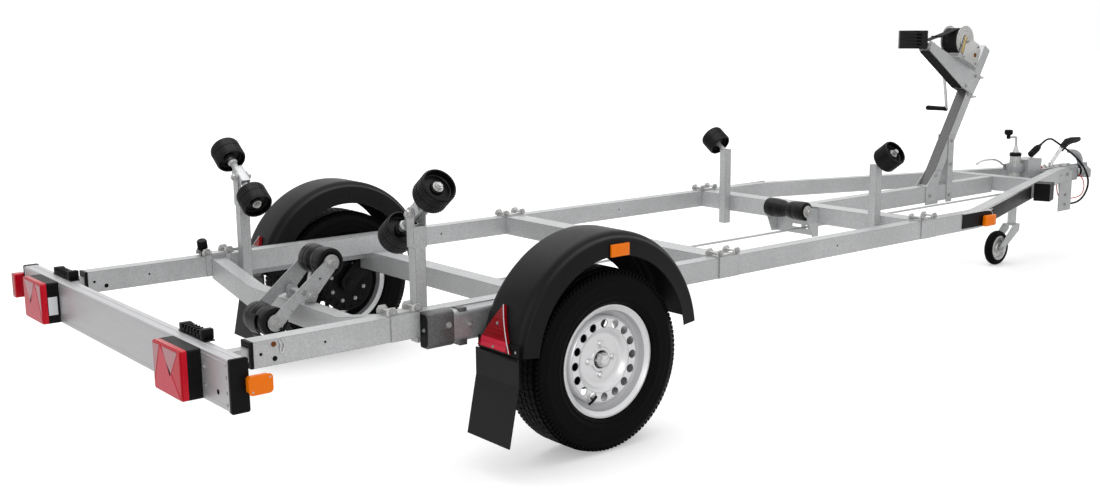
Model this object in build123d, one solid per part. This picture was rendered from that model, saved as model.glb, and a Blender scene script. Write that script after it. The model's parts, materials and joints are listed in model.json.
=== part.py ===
from build123d import *
import os
from math import atan2, cos, degrees, hypot, radians, sin

# Boat trailer: single torsion axle, overrun coupling, keel rollers, side rollers, winch post.
# Millimetres, +X forward to the tow ball, +Y to the left, +Z up, floor at Z = 0.
# The pieces are drawn with the wheel centres at X = 0 and are moved at the end,
# so that X = 0 is the middle of the whole length.

# ---------------------------------------------------------------- driving dimensions
fit_gap = 0.3              # seat of one loose piece on another
run_gap = 6.0              # clear way beside a moving piece
pin_gap = 0.3              # a pin in its hole

# road wheels, 195/70 R14
tyre_radius = 314.5
tyre_width = 198.0
tyre_wall = 14.0
rim_flange_radius = 195.0
rim_seat_radius = 178.0
rim_well_radius = 155.0
rim_half_width = 81.0
rim_sheet = 4.0
wheel_face_y = 950.0
wheel_y = wheel_face_y - rim_half_width
hub_pin_radius = 20.0
hand_holes = 16
hand_hole_radius = 11.0

# frame rails
rail_outer_y = 714.0
rail_width = 60.0
rail_height = 80.0
rail_wall = 4.0
rail_top_z = 535.0
rail_rear_x = -1170.0
rail_bend_x = 2570.0
rail_bend_radius = 400.0
nose_join_x = 4337.0
nose_end_x = 4440.0
nose_half_gap = 62.0
plug_length = 10.0
rail_mid_y = rail_outer_y - rail_width / 2
rail_inner_y = rail_outer_y - rail_width
rail_low_z = rail_top_z - rail_height
rail_mid_z = rail_top_z - rail_height / 2
nose_mid_y = nose_half_gap + rail_width / 2

# cross beams
beam_wall = 4.0
rear_beam_x = -650.0
axle_beam_x = 834.0
front_beam_x = 2145.0
draw_beam_x = 3800.0
wide_beam = 100.0
draw_beam = 80.0
rear_beam_width = 60.0
rear_beam_top_z = 525.0
rear_beam_low_z = 463.0
rear_beam_knee_y = 330.0
clamp_plate = 5.0
clamp_length = 108.0

# axle
axle_x = 100.0
axle_tube = 80.0
axle_wall = 6.0
arm_thick = 20.0
arm_inner_y = 762.0
arm_height = 76.0
drum_radius = 118.0
drum_depth = 48.0
bracket_rear_x = -582.0
bracket_front_x = 260.0
bracket_width = 44.0
bracket_height = 108.0
bracket_low_z = 424.0
bracket_round = 18.0
bracket_cap = 12.0
bracket_outer_y = rail_outer_y + fit_gap + bracket_width

# fenders
fender_radius = 405.0
fender_centre_z = 355.0
fender_inner_y = bracket_outer_y + fit_gap
fender_outer_y = 984.0
fender_wall = 4.0
fender_skirt = 96.0
fender_front_angle = 7.0
fender_drop = 30.0
fender_bevel = 28.0
flap_top_z = 400.0
skirt_low_z = 394.0
flap_knee_z = 310.0
flap_low_z = 116.0
flap_thick = 5.0
flap_kick = 40.0
triangle_side = 170.0
triangle_thick = 9.0
triangle_angle = 18.0
triangle_shift = 12.0
side_reflector_length = 80.0
side_reflector_height = 46.0
side_reflector_thick = 8.0
side_reflector_x = 17.0
side_reflector_z = 692.0

# light board
board_rear_x = -1326.0
board_thick = 50.0
board_half_length = 885.0
board_top_z = 545.0
board_height = 150.0
board_wall = 3.0
board_cap = 10.0
slide_tube = 40.0
slide_tube_length = 620.0
slide_tube_wall = 3.0
lamp_y = 605.0
lamp_width = 200.0
lamp_height = 148.0
lamp_depth = 64.0
lens_depth = 22.0
lens_bevel = 5.0
side_marker_length = 76.0
side_marker_height = 56.0
side_marker_depth = 26.0
side_marker_lap = 12.0
end_marker_height = 92.0
end_marker_width = 44.0
end_marker_depth = 42.0
end_marker_lap = 6.0
buckle_y = 565.0
buckle_length = 190.0
buckle_width = 36.0
buckle_base = 10.0
buckle_fin = 26.0
board_front_x = board_rear_x + board_thick
board_low_z = board_top_z - board_height

# keel rocker: two rollers on one rocking frame
rocker_x = -636.0
rocker_z = 490.0
rocker_rear_x = -779.0
rocker_rear_z = 413.0
rocker_fore_x = -551.0
rocker_fore_z = 597.0
rocker_plate = 5.0
rocker_eye = 26.0
rocker_hub = 22.0
rocker_lug_y = 66.0
keel_roller_radius = 54.0
keel_roller_waist = 46.0
keel_roller_length = 150.0
keel_pin_radius = 10.0

# side rollers
side_roller_radius = 60.0
side_roller_length = 84.0
roller_wall = 9.0
roller_cup = 26.0
roller_hub = 24.0
hub_rise = 10.0
side_pin_radius = 10.0
side_angle = 36.5
side_arm_reach = 134.0
side_arm_width = 28.0
side_arm_thick = 24.0
post_size = 40.0
post_lug = 5.0
rear_post_x = -545.0
rear_post_y = rail_inner_y - fit_gap - post_size / 2
rear_post_top_z = 800.0
rear_post_low_z = 418.0
side_pivot_z = 842.0
front_post_x = front_beam_x - wide_beam / 2 - fit_gap - post_size / 2
front_post_y = 470.0
front_post_top_z = 775.0
front_post_low_z = 392.0
front_stub_reach = 88.0
stub_drop = 12.0

# bow keel roller
bow_roller_x = 2019.0
bow_roller_z = 520.0
bow_roller_radius = 46.0
bow_roller_waist = 34.0
bow_roller_length = 240.0
bow_ear_low_z = 394.0
bow_web_thick = 6.0

# keel beam and winch post
keel_beam_width = 60.0
keel_beam_top_z = 533.0
keel_beam_height = 88.0
post_foot_x = 3170.0
post_foot_z = 517.0
post_head_x = 3640.0
post_head_z = 1262.0
post_tube = 60.0
post_wall = 4.0
strut_x = 3330.0
strut_width = 50.0
strut_plate = 4.0
strut_top_z = 800.0
shoe_half = 56.0
shoe_top_z = 612.0
shoe_low_z = 432.0
keel_low_z = keel_beam_top_z - keel_beam_height

# bow stop and winch
arm_plate = 4.0
arm_tip_x = 3092.0
arm_tip_top_z = 1316.0
arm_tip_low_z = 1262.0
arm_step_x = 3172.0
arm_step_z = 1280.0
arm_knee_x = 3310.0
arm_knee_z = 1222.0
arm_head_x = 3590.0
arm_heel_x = 3416.0
arm_heel_z = 1050.0
arm_toe_x = 3514.0
arm_toe_z = 1010.0
arm_strip = 170.0
stop_x = 3060.0
stop_z = 1320.0
stop_height = 94.0
stop_half = 90.0
stop_depth = 95.0
drum_x = 3388.0
drum_z = 1308.0
winch_disc_radius = 80.0
winch_core_radius = 30.0
strap_radius = 66.0
winch_drum_length = 100.0
winch_plate = 4.0
winch_tilt = 22.0
winch_seat = 104.7
crank_x = 3405.0
crank_z = 1235.0
crank_y = 102.0
crank_reach = 315.0
crank_lean = 13.0
crank_grip_length = 136.0

# nose
housing_rear_x = 4240.0
housing_front_x = 4662.0
housing_height = 96.0
housing_z = 485.0
housing_low_z = housing_z - housing_height / 2
bellows_front_x = 4748.0
head_front_x = 4884.0
ball_radius = 25.2
ball_x = 4846.0
ball_z = 462.0
head_radius = 38.0
box_rear_x = 4092.0
box_half = 53.0
box_low_z = 500.0
box_top_z = 604.0
box_plate = 5.0
lock_bend_x = 4720.0
lock_bend_z = 596.0
lock_end_x = 4640.0
lock_end_z = 612.0
lock_thick = 14.0
lock_width = 30.0
brake_pivot_x = 4380.0
brake_pivot_z = 562.0
brake_lever_y = -34.0
brake_lever_thick = 10.0
brake_elbow_x = 4470.0
brake_elbow_z = 650.0
grip_x = 4566.0
grip_z = 682.0
grip_lean = 6.0
grip_length = 250.0
grip_height = 52.0
grip_half_width = 11.0
grip_hole_length = 170.0
grip_hole_height = 18.0
side_plate_rear_x = 4450.0
side_plate_front_x = 4590.0
side_plate_low_z = 262.0
side_plate_thick = 5.0

# jockey wheel
jockey_x = 4040.0
jockey_tube_radius = 30.0
jockey_inner_radius = 24.0
jockey_top_z = 648.0
jockey_low_z = 330.0
jockey_clamp_z = 560.0
jockey_wheel_radius = 100.0
jockey_wheel_width = 50.0
jockey_trail = 150.0
jockey_pin_radius = 8.0
jockey_clamp_half = 26.0
jockey_clamp_wall = 11.0
jockey_ear = 36.0
jockey_handle_length = 190.0
jockey_stem = 78.0
jockey_crank = 84.0
jockey_knob = 30.0

# front marker flags on the rails' bends
flag_rear_x = 2415.0
flag_front_x = 2660.0
flag_height = 70.0
flag_thick = 4.0
flag_lamp_length = 84.0
flag_lamp_height = 52.0
flag_lamp_depth = 24.0

# wheel chock box on the right rail
chock_x = 3640.0
chock_length = 105.0
chock_width = 84.0
chock_height = 96.0
chock_wall = 3.0

# cords
light_cord_radius = 6.0
brake_rod_radius = 5.0
brake_rod_y = -62.0
brake_rod_z = 430.0
safety_cord_radius = 3.0
light_cord_radii = [96.8, 270.8, 581.8, 292.9, 76.9, 133.5, 66.9]
safety_cord_radii = [41.2, 59.8, 202.7, 49.4]

# whole length, from the lamps' faces to the coupling's tip
rear_end_x = board_rear_x - lamp_depth
middle_x = (rear_end_x + head_front_x) / 2


# ---------------------------------------------------------------- helpers
def block(x0, x1, y0, y1, z0, z1):
    """A box between two corners."""
    return Pos((x0 + x1) / 2, (y0 + y1) / 2, (z0 + z1) / 2) * Box(x1 - x0, y1 - y0, z1 - z0)


def rod_y(x, z, y0, y1, radius):
    """A round bar along Y."""
    return Pos(x, (y0 + y1) / 2, z) * Rot(90, 0, 0) * Cylinder(radius, y1 - y0)


def rod_z(x, y, z0, z1, radius):
    """A round bar along Z."""
    return Pos(x, y, (z0 + z1) / 2) * Cylinder(radius, z1 - z0)


def rod_x(y, z, x0, x1, radius):
    """A round bar along X."""
    return Pos((x0 + x1) / 2, y, z) * Rot(0, 90, 0) * Cylinder(radius, x1 - x0)


def bar(start, end, width, height, wall=0.0):
    """A rectangular bar or tube between two points of the plane Y = start's y."""
    sx, sy, sz = start
    ex, ey, ez = end
    length = hypot(ex - sx, ez - sz)
    angle = degrees(atan2(ez - sz, ex - sx))
    solid = Box(length, width, height)
    if wall:
        solid = solid - Box(length, width - 2 * wall, height - 2 * wall)
    return Pos((sx + ex) / 2, sy, (sz + ez) / 2) * Rot(0, -angle, 0) * solid


def sheet_xz(points, y0, y1):
    """A flat plate in the X-Z plane between two y values."""
    face = make_face(Polyline(*points, close=True))
    return Pos(0, y1, 0) * Rot(90, 0, 0) * extrude(face, y1 - y0)


def mirrored(solid):
    """The same piece on the other side of the trailer."""
    return mirror(solid, Plane.XZ)


def both(solid):
    """A piece and its mirror image, as separate solids."""
    return [solid, mirrored(solid)]


def cord(points, radii, thickness):
    """A round cord along straight runs joined by tangent arcs."""
    path = FilletPolyline(*points, radius=radii)
    start = Plane(origin=path @ 0, z_dir=path % 0)
    return sweep(start * Circle(thickness), path=path)


# ---------------------------------------------------------------- frame
def rail(side):
    """One closed box rail: straight beside the boat, then drawn in to the nose."""
    outside = extrude(trace(rail_line(side), rail_width), rail_height)
    inside = extrude(trace(rail_line(side), rail_width - 2 * rail_wall), rail_height - 2 * rail_wall)
    return Pos(0, 0, rail_low_z) * (outside - Pos(0, 0, rail_wall) * inside)


def rail_line(side):
    """Middle line of a rail, seen from above."""
    return FilletPolyline(
        (rail_rear_x, side * rail_mid_y),
        (rail_bend_x, side * rail_mid_y),
        (nose_join_x, side * nose_mid_y),
        (nose_end_x, side * nose_mid_y),
        radius=rail_bend_radius,
    )


def black_caps():
    """Plastic guides in the rails' rear ends and caps on the side brackets."""
    x0 = rail_rear_x - plug_length
    plug = block(x0, rail_rear_x, rail_inner_y, rail_outer_y, rail_low_z, rail_top_z)
    way = slide_tube + 2 * pin_gap
    plug = plug - Pos(x0, rail_mid_y, rail_mid_z) * Box(4 * plug_length, way, way)
    cap_x = bracket_rear_x - fit_gap - bracket_cap
    cap = bracket_block(cap_x, bracket_rear_x - fit_gap)
    return both(plug) + both(cap)


def draw_middle(x):
    """Middle line of the drawn-in rails at a given x."""
    share = (x - rail_bend_x) / (nose_join_x - rail_bend_x)
    return rail_mid_y + share * (nose_mid_y - rail_mid_y)


def draw_half(x):
    """Inner face of the drawn-in rails at a given x."""
    slant = atan2(rail_mid_y - nose_mid_y, nose_join_x - rail_bend_x)
    return draw_middle(x) - rail_width / 2 / cos(slant)


def cross_beams():
    """Straight cross beams between the rails' inner faces."""
    beams = []
    table = [
        # x, width
        (axle_beam_x, wide_beam),
        (front_beam_x, wide_beam),
    ]
    half = rail_inner_y - fit_gap
    for x, width in table:
        tube = block(x - width / 2, x + width / 2, -half, half, rail_low_z, rail_top_z)
        hollow = Pos(x, 0, rail_mid_z) * Box(width - 2 * beam_wall, 2 * half, rail_height - 2 * beam_wall)
        beams.append(tube - hollow)
    beams.append(tapered_beam())
    return beams


def tapered_beam():
    """The drawbar's cross beam, its ends cut to the rails' slant."""
    x0 = draw_beam_x - draw_beam / 2
    x1 = draw_beam_x + draw_beam / 2
    rear = draw_half(x0) - fit_gap
    fore = draw_half(x1) - fit_gap
    face = make_face(Polyline((x0, -rear), (x1, -fore), (x1, fore), (x0, rear), close=True))
    solid = Pos(0, 0, rail_low_z) * extrude(face, rail_height)
    hollow = block(
        x0 + beam_wall, x1 - beam_wall, -rear, rear, rail_low_z + beam_wall, rail_top_z - beam_wall
    )
    return solid - hollow


def rear_beam():
    """The dropped rear cross beam with the two lugs of the keel rocker."""
    top = rear_beam_top_z
    low = rear_beam_low_z
    half = rail_inner_y - fit_gap
    knee = rear_beam_knee_y
    foot = rear_beam_knee_y + 12
    outline = [
        (-half, top),
        (-knee, low),
        (knee, low),
        (half, top),
        (half, top - rail_height),
        (foot, low - rail_height),
        (-foot, low - rail_height),
        (-half, top - rail_height),
    ]
    face = make_face(Polyline(*outline, close=True))
    upright = Pos(rear_beam_x, 0, 0) * Rot(0, 0, 90) * Rot(90, 0, 0)
    solid = upright * extrude(face, rear_beam_width / 2, both=True)
    for side in (-1, 1):
        y0 = side * rocker_lug_y - 4
        lug = block(rocker_x - rocker_hub, rocker_x + rocker_hub, y0, y0 + 8, low - 6, rocker_z)
        lug = lug + rod_y(rocker_x, rocker_z, y0, y0 + 8, rocker_hub)
        solid = solid + lug
    return solid - rod_y(rocker_x, rocker_z, -rocker_lug_y - 5, rocker_lug_y + 5, keel_pin_radius + pin_gap)


def clamp(x, width):
    """A folded saddle over a rail, whose tabs hold the end of a cross beam."""
    x0 = x - clamp_length / 2
    x1 = x + clamp_length / 2
    y0 = rail_inner_y - clamp_plate
    y1 = rail_outer_y + clamp_plate
    solid = block(x0, x1, rail_outer_y, y1, rail_low_z, rail_top_z)
    solid = solid + block(x0, x1, y0, y1, rail_top_z, rail_top_z + clamp_plate)
    tab = (clamp_length - width) / 2 - fit_gap
    if tab > 6:
        for x2 in (x0, x1 - tab):
            solid = solid + block(x2, x2 + tab, y0, rail_inner_y, rail_low_z, rail_top_z)
    return solid


def beam_clamps():
    """All clamps on the straight rails."""
    pieces = []
    table = [
        # x, width of the beam held
        (rear_beam_x, rear_beam_width),
        (axle_beam_x, wide_beam),
        (front_beam_x, wide_beam),
    ]
    for x, width in table:
        pieces += both(clamp(x, width))
    return pieces


def keel_beam():
    """The centre tube from the front cross beam to the drawbar beam."""
    x0 = front_beam_x + wide_beam / 2 + fit_gap
    x1 = draw_beam_x - draw_beam / 2 - fit_gap
    half = keel_beam_width / 2
    tube = block(x0, x1, -half, half, keel_low_z, keel_beam_top_z)
    inner = half - beam_wall
    hollow = block(x0, x1, -inner, inner, keel_low_z + beam_wall, keel_beam_top_z - beam_wall)
    return tube - hollow


# ---------------------------------------------------------------- axle and wheels
def axle():
    """Torsion tube under the rails with trailing arms, brake drums and stub pins."""
    z1 = rail_low_z
    z0 = z1 - axle_tube
    x0 = axle_x - axle_tube / 2
    x1 = x0 + axle_tube
    tube = block(x0, x1, -arm_inner_y, arm_inner_y, z0, z1)
    reach = arm_inner_y - 1
    hollow = block(x0 + axle_wall, x1 - axle_wall, -reach, reach, z0 + axle_wall, z1 - axle_wall)
    solid = tube - hollow
    left = hub_arm()
    return solid + left + mirrored(left)


def hub_arm():
    """Trailing arm, brake drum and stub pin that carry the left wheel."""
    arm_z = rail_low_z - axle_tube / 2
    length = hypot(axle_x, arm_z - tyre_radius)
    angle = degrees(atan2(arm_z - tyre_radius, axle_x))
    y1 = arm_inner_y + arm_thick
    slot = Rot(0, 0, angle) * extrude(SlotCenterToCenter(length, arm_height), arm_thick)
    arm = Pos(axle_x / 2, y1, (arm_z + tyre_radius) / 2) * Rot(90, 0, 0) * slot
    drum = rod_y(0, tyre_radius, y1, y1 + drum_depth, drum_radius)
    pin = rod_y(0, tyre_radius, y1, wheel_y + 66, hub_pin_radius)
    return arm + drum + pin


def bracket_block(x0, x1):
    """A rounded length of the side bracket's section, left side."""
    y0 = rail_outer_y + fit_gap
    solid = block(x0, x1, y0, bracket_outer_y, bracket_low_z, bracket_low_z + bracket_height)
    return fillet(solid.edges().filter_by(Axis.X).group_by(Axis.Y)[-1], bracket_round)


def axle_brackets():
    """Long side brackets that bolt the axle and the fenders to the rails."""
    solid = bracket_block(bracket_rear_x, bracket_front_x)
    x0 = axle_x - axle_tube / 2 - fit_gap
    x1 = axle_x + axle_tube / 2 + fit_gap
    seat = block(x0, x1, rail_outer_y, bracket_outer_y + 1, bracket_low_z - 1, rail_low_z + fit_gap)
    return both(solid - seat)


def rim():
    """Pressed steel wheel: barrel, dished disc, hand holes and hub."""
    seat = rim_seat_radius
    well = rim_well_radius
    half = rim_half_width
    sheet = rim_sheet
    flange = rim_flange_radius
    barrel = [
        (flange, half),
        (flange, half - 5),
        (seat + 2, half - 12),
        (seat, half - 34),
        (well, half - 58),
        (well, -half + 58),
        (seat, -half + 34),
        (seat + 2, -half + 12),
        (flange, -half + 5),
        (flange, -half),
        (seat - sheet, -half + 8),
        (seat - sheet, -half + 36),
        (well - sheet, -half + 56),
        (well - sheet, half - 56),
        (seat - sheet, half - 36),
        (seat - sheet, half - 8),
    ]
    bore = hub_pin_radius + pin_gap
    dish = [
        (well - sheet + 1, 14),
        (well - sheet + 1, 22),
        (132, 54),
        (104, 58),
        (84, 38),
        (bore, 38),
        (bore, -8),
        (46, -8),
        (46, 30),
        (88, 32),
        (108, 50),
        (128, 48),
    ]
    section = make_face(Polyline(*barrel, close=True)) + make_face(Polyline(*dish, close=True))
    solid = revolve(section, Axis.Y)
    for i in range(hand_holes):
        turn = Rot(0, i * 360 / hand_holes, 0)
        solid = solid - turn * Pos(118, 50, 0) * Rot(90, 0, 0) * Cylinder(hand_hole_radius, 60)
    return Pos(0, wheel_y, tyre_radius) * solid


def tyre():
    """Radial tyre, open inside, with its beads on the rim's seats."""
    half = tyre_width / 2
    bead = rim_seat_radius + 2 + fit_gap
    heel = rim_flange_radius + 1.5
    crown = tyre_radius
    inner = crown - tyre_wall
    side = half - tyre_wall + 4
    upper = [
        (bead, 46),
        (bead, rim_half_width - 13.5),
        (heel, rim_half_width - 6),
        (heel + 3, rim_half_width + 1),
        (heel + 26, half),
        (crown - 44, half - 3),
        (crown - 12, half - 14),
        (crown, half - 30),
    ]
    lower = [
        (inner, -half + 34),
        (inner - 34, -side),
        (bead + 40, -side),
        (bead + 12, -54),
    ]
    outside = upper + [(r, -y) for r, y in reversed(upper)]
    inside = lower + [(r, -y) for r, y in reversed(lower)]
    face = make_face(Polyline(*outside, *reversed(inside), close=True))
    return Pos(0, wheel_y, tyre_radius) * revolve(face, Axis.Y)


# ---------------------------------------------------------------- fenders
def fender():
    """Moulded arch with a skirt on each side, straight at its rear end."""
    y0 = fender_inner_y
    y1 = fender_outer_y
    outer = fender_radius
    wall = fender_wall
    edge = outer - fender_skirt
    bevel = fender_bevel
    outline = [
        (y0, edge),
        (y0, outer - bevel),
        (y0 + bevel, outer),
        (y1 - bevel, outer),
        (y1, outer - bevel),
        (y1, edge),
        (y1 - wall, edge),
        (y1 - wall, outer - bevel - wall / 2),
        (y1 - bevel - wall / 2, outer - wall),
        (y0 + bevel + wall / 2, outer - wall),
        (y0 + wall, outer - bevel - wall / 2),
        (y0 + wall, edge),
    ]
    section = make_face(Polyline(*outline, close=True))
    standing = Plane(origin=(0, 0, 0), x_dir=(0, 1, 0), z_dir=(1, 0, 0)) * section
    arch = Rot(0, -90, 0) * revolve(standing, Axis.Y, 180 - fender_front_angle)
    rear = extrude(Rot(0, -90, 0) * standing, fender_drop, dir=(0, 0, -1))
    low = fender_centre_z - fender_drop - 1
    open_end = block(-outer + 1.5 * wall, 0, y0 - 1, y1 + 1, low, skirt_low_z)
    return Pos(0, 0, fender_centre_z) * (arch + rear) - open_end


def mudflap():
    """Rubber flap hung on the rear face of a fender."""
    x0 = -fender_radius - fit_gap
    outline = [
        (x0, flap_top_z),
        (x0, flap_knee_z),
        (x0 - flap_kick, flap_low_z),
        (x0 - flap_kick - flap_thick, flap_low_z),
        (x0 - flap_thick, flap_knee_z),
        (x0 - flap_thick, flap_top_z),
    ]
    return sheet_xz(outline, fender_inner_y, fender_outer_y)


def fender_reflectors():
    """Red triangles on the rear ends of the fenders."""
    middle = (fender_inner_y + fender_outer_y) / 2 - triangle_shift
    rise = triangle_side * sin(radians(60))
    face = make_face(Polyline((-triangle_side / 2, 0), (triangle_side / 2, 0), (0, rise), close=True))
    radius = fender_radius + triangle_thick / 2
    upright = Plane(origin=(-radius, 0, -rise / 2), x_dir=(0, 1, 0), z_dir=(1, 0, 0))
    tilt = Rot(0, triangle_angle, 0) * extrude(upright * face, 4 * triangle_thick, both=True)
    solid = Pos(0, middle, fender_centre_z) * tilt
    solid = solid - rod_y(0, fender_centre_z, fender_inner_y, fender_outer_y, fender_radius + fit_gap)
    cover = rod_y(0, fender_centre_z, fender_inner_y, fender_outer_y, radius + triangle_thick)
    return both(solid & cover)


def side_reflector():
    """Orange reflector on the outer skirt of the left fender."""
    x = side_reflector_x
    z = side_reflector_z
    y = fender_outer_y + fit_gap
    half = side_reflector_length / 2
    rise = side_reflector_height / 2
    return block(x - half, x + half, y, y + side_reflector_thick, z - rise, z + rise)


# ---------------------------------------------------------------- light board
def light_board():
    """Hollow aluminium plank across the rear."""
    half = board_half_length
    solid = block(board_rear_x, board_front_x, -half, half, board_low_z, board_top_z)
    solid = fillet(solid.edges().filter_by(Axis.Y), 4)
    wall = board_wall
    hollow = block(
        board_rear_x + wall, board_front_x - wall, -half, half, board_low_z + wall, board_top_z - wall
    )
    return solid - hollow


def board_end_caps():
    """Black end caps of the light board."""
    x0 = board_rear_x - 3
    x1 = board_front_x + 3
    y0 = board_half_length
    cap = block(x0, x1, y0, y0 + board_cap, board_low_z - 3, board_top_z + 3)
    return both(fillet(cap.edges().filter_by(Axis.Y), 6))


def board_slide_tubes():
    """Square tubes that carry the board and slide in the rails."""
    x0 = board_front_x + fit_gap
    x1 = x0 + slide_tube_length
    half = slide_tube / 2
    inner = half - slide_tube_wall
    y = rail_mid_y
    z = rail_mid_z
    tube = block(x0, x1, y - half, y + half, z - half, z + half)
    return both(tube - block(x0, x1, y - inner, y + inner, z - inner, z + inner))


def board_buckles():
    """Black holders on the board's top edge."""
    x0 = board_front_x - buckle_width / 2
    x1 = board_front_x + buckle_width / 2
    y0 = buckle_y - buckle_length / 2
    y1 = buckle_y + buckle_length / 2
    z0 = board_top_z
    solid = block(x0, x1, y0, y1, z0, z0 + buckle_base)
    for share in (0.0, 0.32, 0.64, 0.92):
        y = y0 + share * buckle_length
        solid = solid + block(x0, x1, y, y + 14, z0, z0 + buckle_base + buckle_fin * (1 - share / 2))
    spine = block(x0 + 14, x0 + 20, y0, y1, z0, z0 + buckle_base + 12)
    return both(solid + spine)


def lamp_block(x0, x1):
    """A slice of the rear lamp between two x values, left side."""
    y0 = lamp_y - lamp_width / 2
    solid = block(x0, x1, y0, y0 + lamp_width, board_low_z, board_low_z + lamp_height)
    return fillet(solid.edges().filter_by(Axis.X), 8)


def lamp_housings():
    """Black boxes of the rear lamps."""
    return both(lamp_block(board_rear_x - lamp_depth + lens_depth, board_rear_x))


def lamp_lenses():
    """Red faces of the rear lamps, bevelled all round."""
    x0 = board_rear_x - lamp_depth
    lens = lamp_block(x0, x0 + lens_depth)
    lens = chamfer(lens.faces().sort_by(Axis.X)[0].edges(), lens_bevel)
    return both(lens) + [end_marker()]


def end_marker():
    """Red marker on the light board's left end."""
    y0 = board_half_length + board_cap
    low = board_low_z + (board_height - end_marker_height) / 2
    x1 = board_rear_x + end_marker_lap
    solid = block(x1 - end_marker_depth, x1, y0, y0 + end_marker_width, low, low + end_marker_height)
    return fillet(solid.edges().filter_by(Axis.X), 6)


def board_markers():
    """Orange side marker on the light board's right end."""
    y0 = board_half_length + board_cap
    x0 = board_front_x - side_marker_lap
    low = board_low_z + (board_height - side_marker_height) / 2
    solid = block(x0, x0 + side_marker_length, -y0 - side_marker_depth, -y0, low, low + side_marker_height)
    return fillet(solid.edges().filter_by(Axis.Y), 10)


# ---------------------------------------------------------------- keel rollers
def roller(length, radius, waist, bore):
    """A rubber keel roller along Y, thinner in the middle."""
    half = length / 2
    outline = Polyline(
        (bore, -half),
        (radius - 4, -half),
        (radius, -half + 8),
        (radius, -half + 24),
        (waist, -8),
        (waist, 8),
        (radius, half - 24),
        (radius, half - 8),
        (radius - 4, half),
        (bore, half),
        close=True,
    )
    return revolve(make_face(outline), Axis.Y)


def keel_roller(x, z):
    """One roller of the keel rocker, on its pin."""
    solid = roller(keel_roller_length, keel_roller_radius, keel_roller_waist, keel_pin_radius + pin_gap)
    return Pos(x, 0, z) * solid


def keel_rocker():
    """Two cranked plates with the pins of both rollers and of the pivot."""
    half = keel_roller_length / 2 + run_gap
    eye = rocker_eye
    outline = [
        (rocker_rear_x - eye * 0.62, rocker_rear_z + eye * 0.78),
        (rocker_fore_x - eye * 0.62, rocker_fore_z + eye * 0.78),
        (rocker_fore_x + eye * 0.62, rocker_fore_z - eye * 0.78),
        (rocker_x + rocker_hub, rocker_z),
        (rocker_x - 20, rocker_z - 12),
        (rear_beam_x - 33, rear_beam_low_z + 8),
        (rocker_rear_x + eye * 0.8, rocker_rear_z - eye * 0.6),
    ]
    plates = []
    for y in (-half - rocker_plate, half):
        plate = sheet_xz(outline, y, y + rocker_plate)
        table = [
            # x, z, radius
            (rocker_rear_x, rocker_rear_z, eye),
            (rocker_fore_x, rocker_fore_z, eye),
            (rocker_x, rocker_z, rocker_hub),
        ]
        for x, z, radius in table:
            plate = plate + rod_y(x, z, y, y + rocker_plate, radius)
        plates.append(plate)
    solid = plates[0] + plates[1]
    reach = half + rocker_plate + 8
    for x, z in ((rocker_rear_x, rocker_rear_z), (rocker_fore_x, rocker_fore_z), (rocker_x, rocker_z)):
        solid = solid + rod_y(x, z, -reach, reach, keel_pin_radius)
    return solid


def bow_roller():
    """Long keel roller in front of the middle, on its own pin."""
    solid = roller(bow_roller_length, bow_roller_radius, bow_roller_waist, keel_pin_radius + pin_gap)
    return Pos(bow_roller_x, 0, bow_roller_z) * solid


def bow_roller_bracket():
    """Two ears on a web behind the front cross beam, with the roller's pin."""
    half = bow_roller_length / 2 + run_gap
    x1 = front_beam_x - wide_beam / 2 - fit_gap
    z1 = bow_roller_z
    outline = [
        (bow_roller_x - 20, z1 - 6),
        (bow_roller_x + 6, z1 + 20),
        (x1, z1 + 8),
        (x1, bow_ear_low_z),
        (x1 - 40, bow_ear_low_z),
    ]
    solid = rod_y(bow_roller_x, z1, -half - 12, half + 12, keel_pin_radius)
    for y in (-half - rocker_plate, half):
        solid = solid + sheet_xz(outline, y, y + rocker_plate)
        solid = solid + rod_y(bow_roller_x, z1, y, y + rocker_plate, 20)
    web = block(x1 - bow_web_thick, x1, -half, half, bow_ear_low_z, bow_ear_low_z + 76)
    slot = Pos(x1, 0, bow_ear_low_z + 38) * Box(4 * bow_web_thick, 60, 16)
    way = rod_x(brake_rod_y, brake_rod_z, x1 - 20, x1 + 20, brake_rod_radius + run_gap)
    return solid + (web - slot - way)


# ---------------------------------------------------------------- side rollers
def side_roller():
    """A drum along Z with a cup in each end round its hub, its middle at the origin."""
    half = side_roller_length / 2
    radius = side_roller_radius
    bore = side_pin_radius + pin_gap
    upper = [
        (bore, half - roller_cup + hub_rise),
        (roller_hub, half - roller_cup + hub_rise),
        (roller_hub, half - roller_cup),
        (radius - roller_wall - 2, half - roller_cup),
        (radius - roller_wall, half),
        (radius - 3, half),
        (radius, half - 8),
    ]
    outline = upper + [(r, -z) for r, z in reversed(upper)]
    return revolve(Plane.XZ * make_face(Polyline(*outline, close=True)), Axis.Z)


def side_place(x, y, z, reach):
    """Place on the sloping line of the side rollers, left side."""
    return Pos(x, y, z) * Rot(-(90 - side_angle), 0, 0) * Pos(0, 0, reach)


def roller_posts():
    """Upright square tubes with lugs or stubs for the side rollers."""
    half = post_size / 2
    x = rear_post_x
    y = rear_post_y
    rear = block(x - half, x + half, y - half, y + half, rear_post_low_z, rear_post_top_z)
    for x0 in (x - half - post_lug, x + half):
        rear = rear + block(x0, x0 + post_lug, y - half, y + half, rear_post_top_z - 70, side_pivot_z)
        rear = rear + rod_x(y, side_pivot_z, x0, x0 + post_lug, half)
    rear = rear - rod_x(y, side_pivot_z, x - 2 * half, x + 2 * half, side_pin_radius + pin_gap)
    x = front_post_x
    y = front_post_y
    front = block(x - half, x + half, y - half, y + half, front_post_low_z, front_post_top_z)
    reach = front_stub_reach + side_roller_length / 2 + 8
    stub = side_place(x, y, front_post_top_z - stub_drop, reach / 2) * Cylinder(side_pin_radius, reach)
    return both(rear) + both(front + stub)


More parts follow.
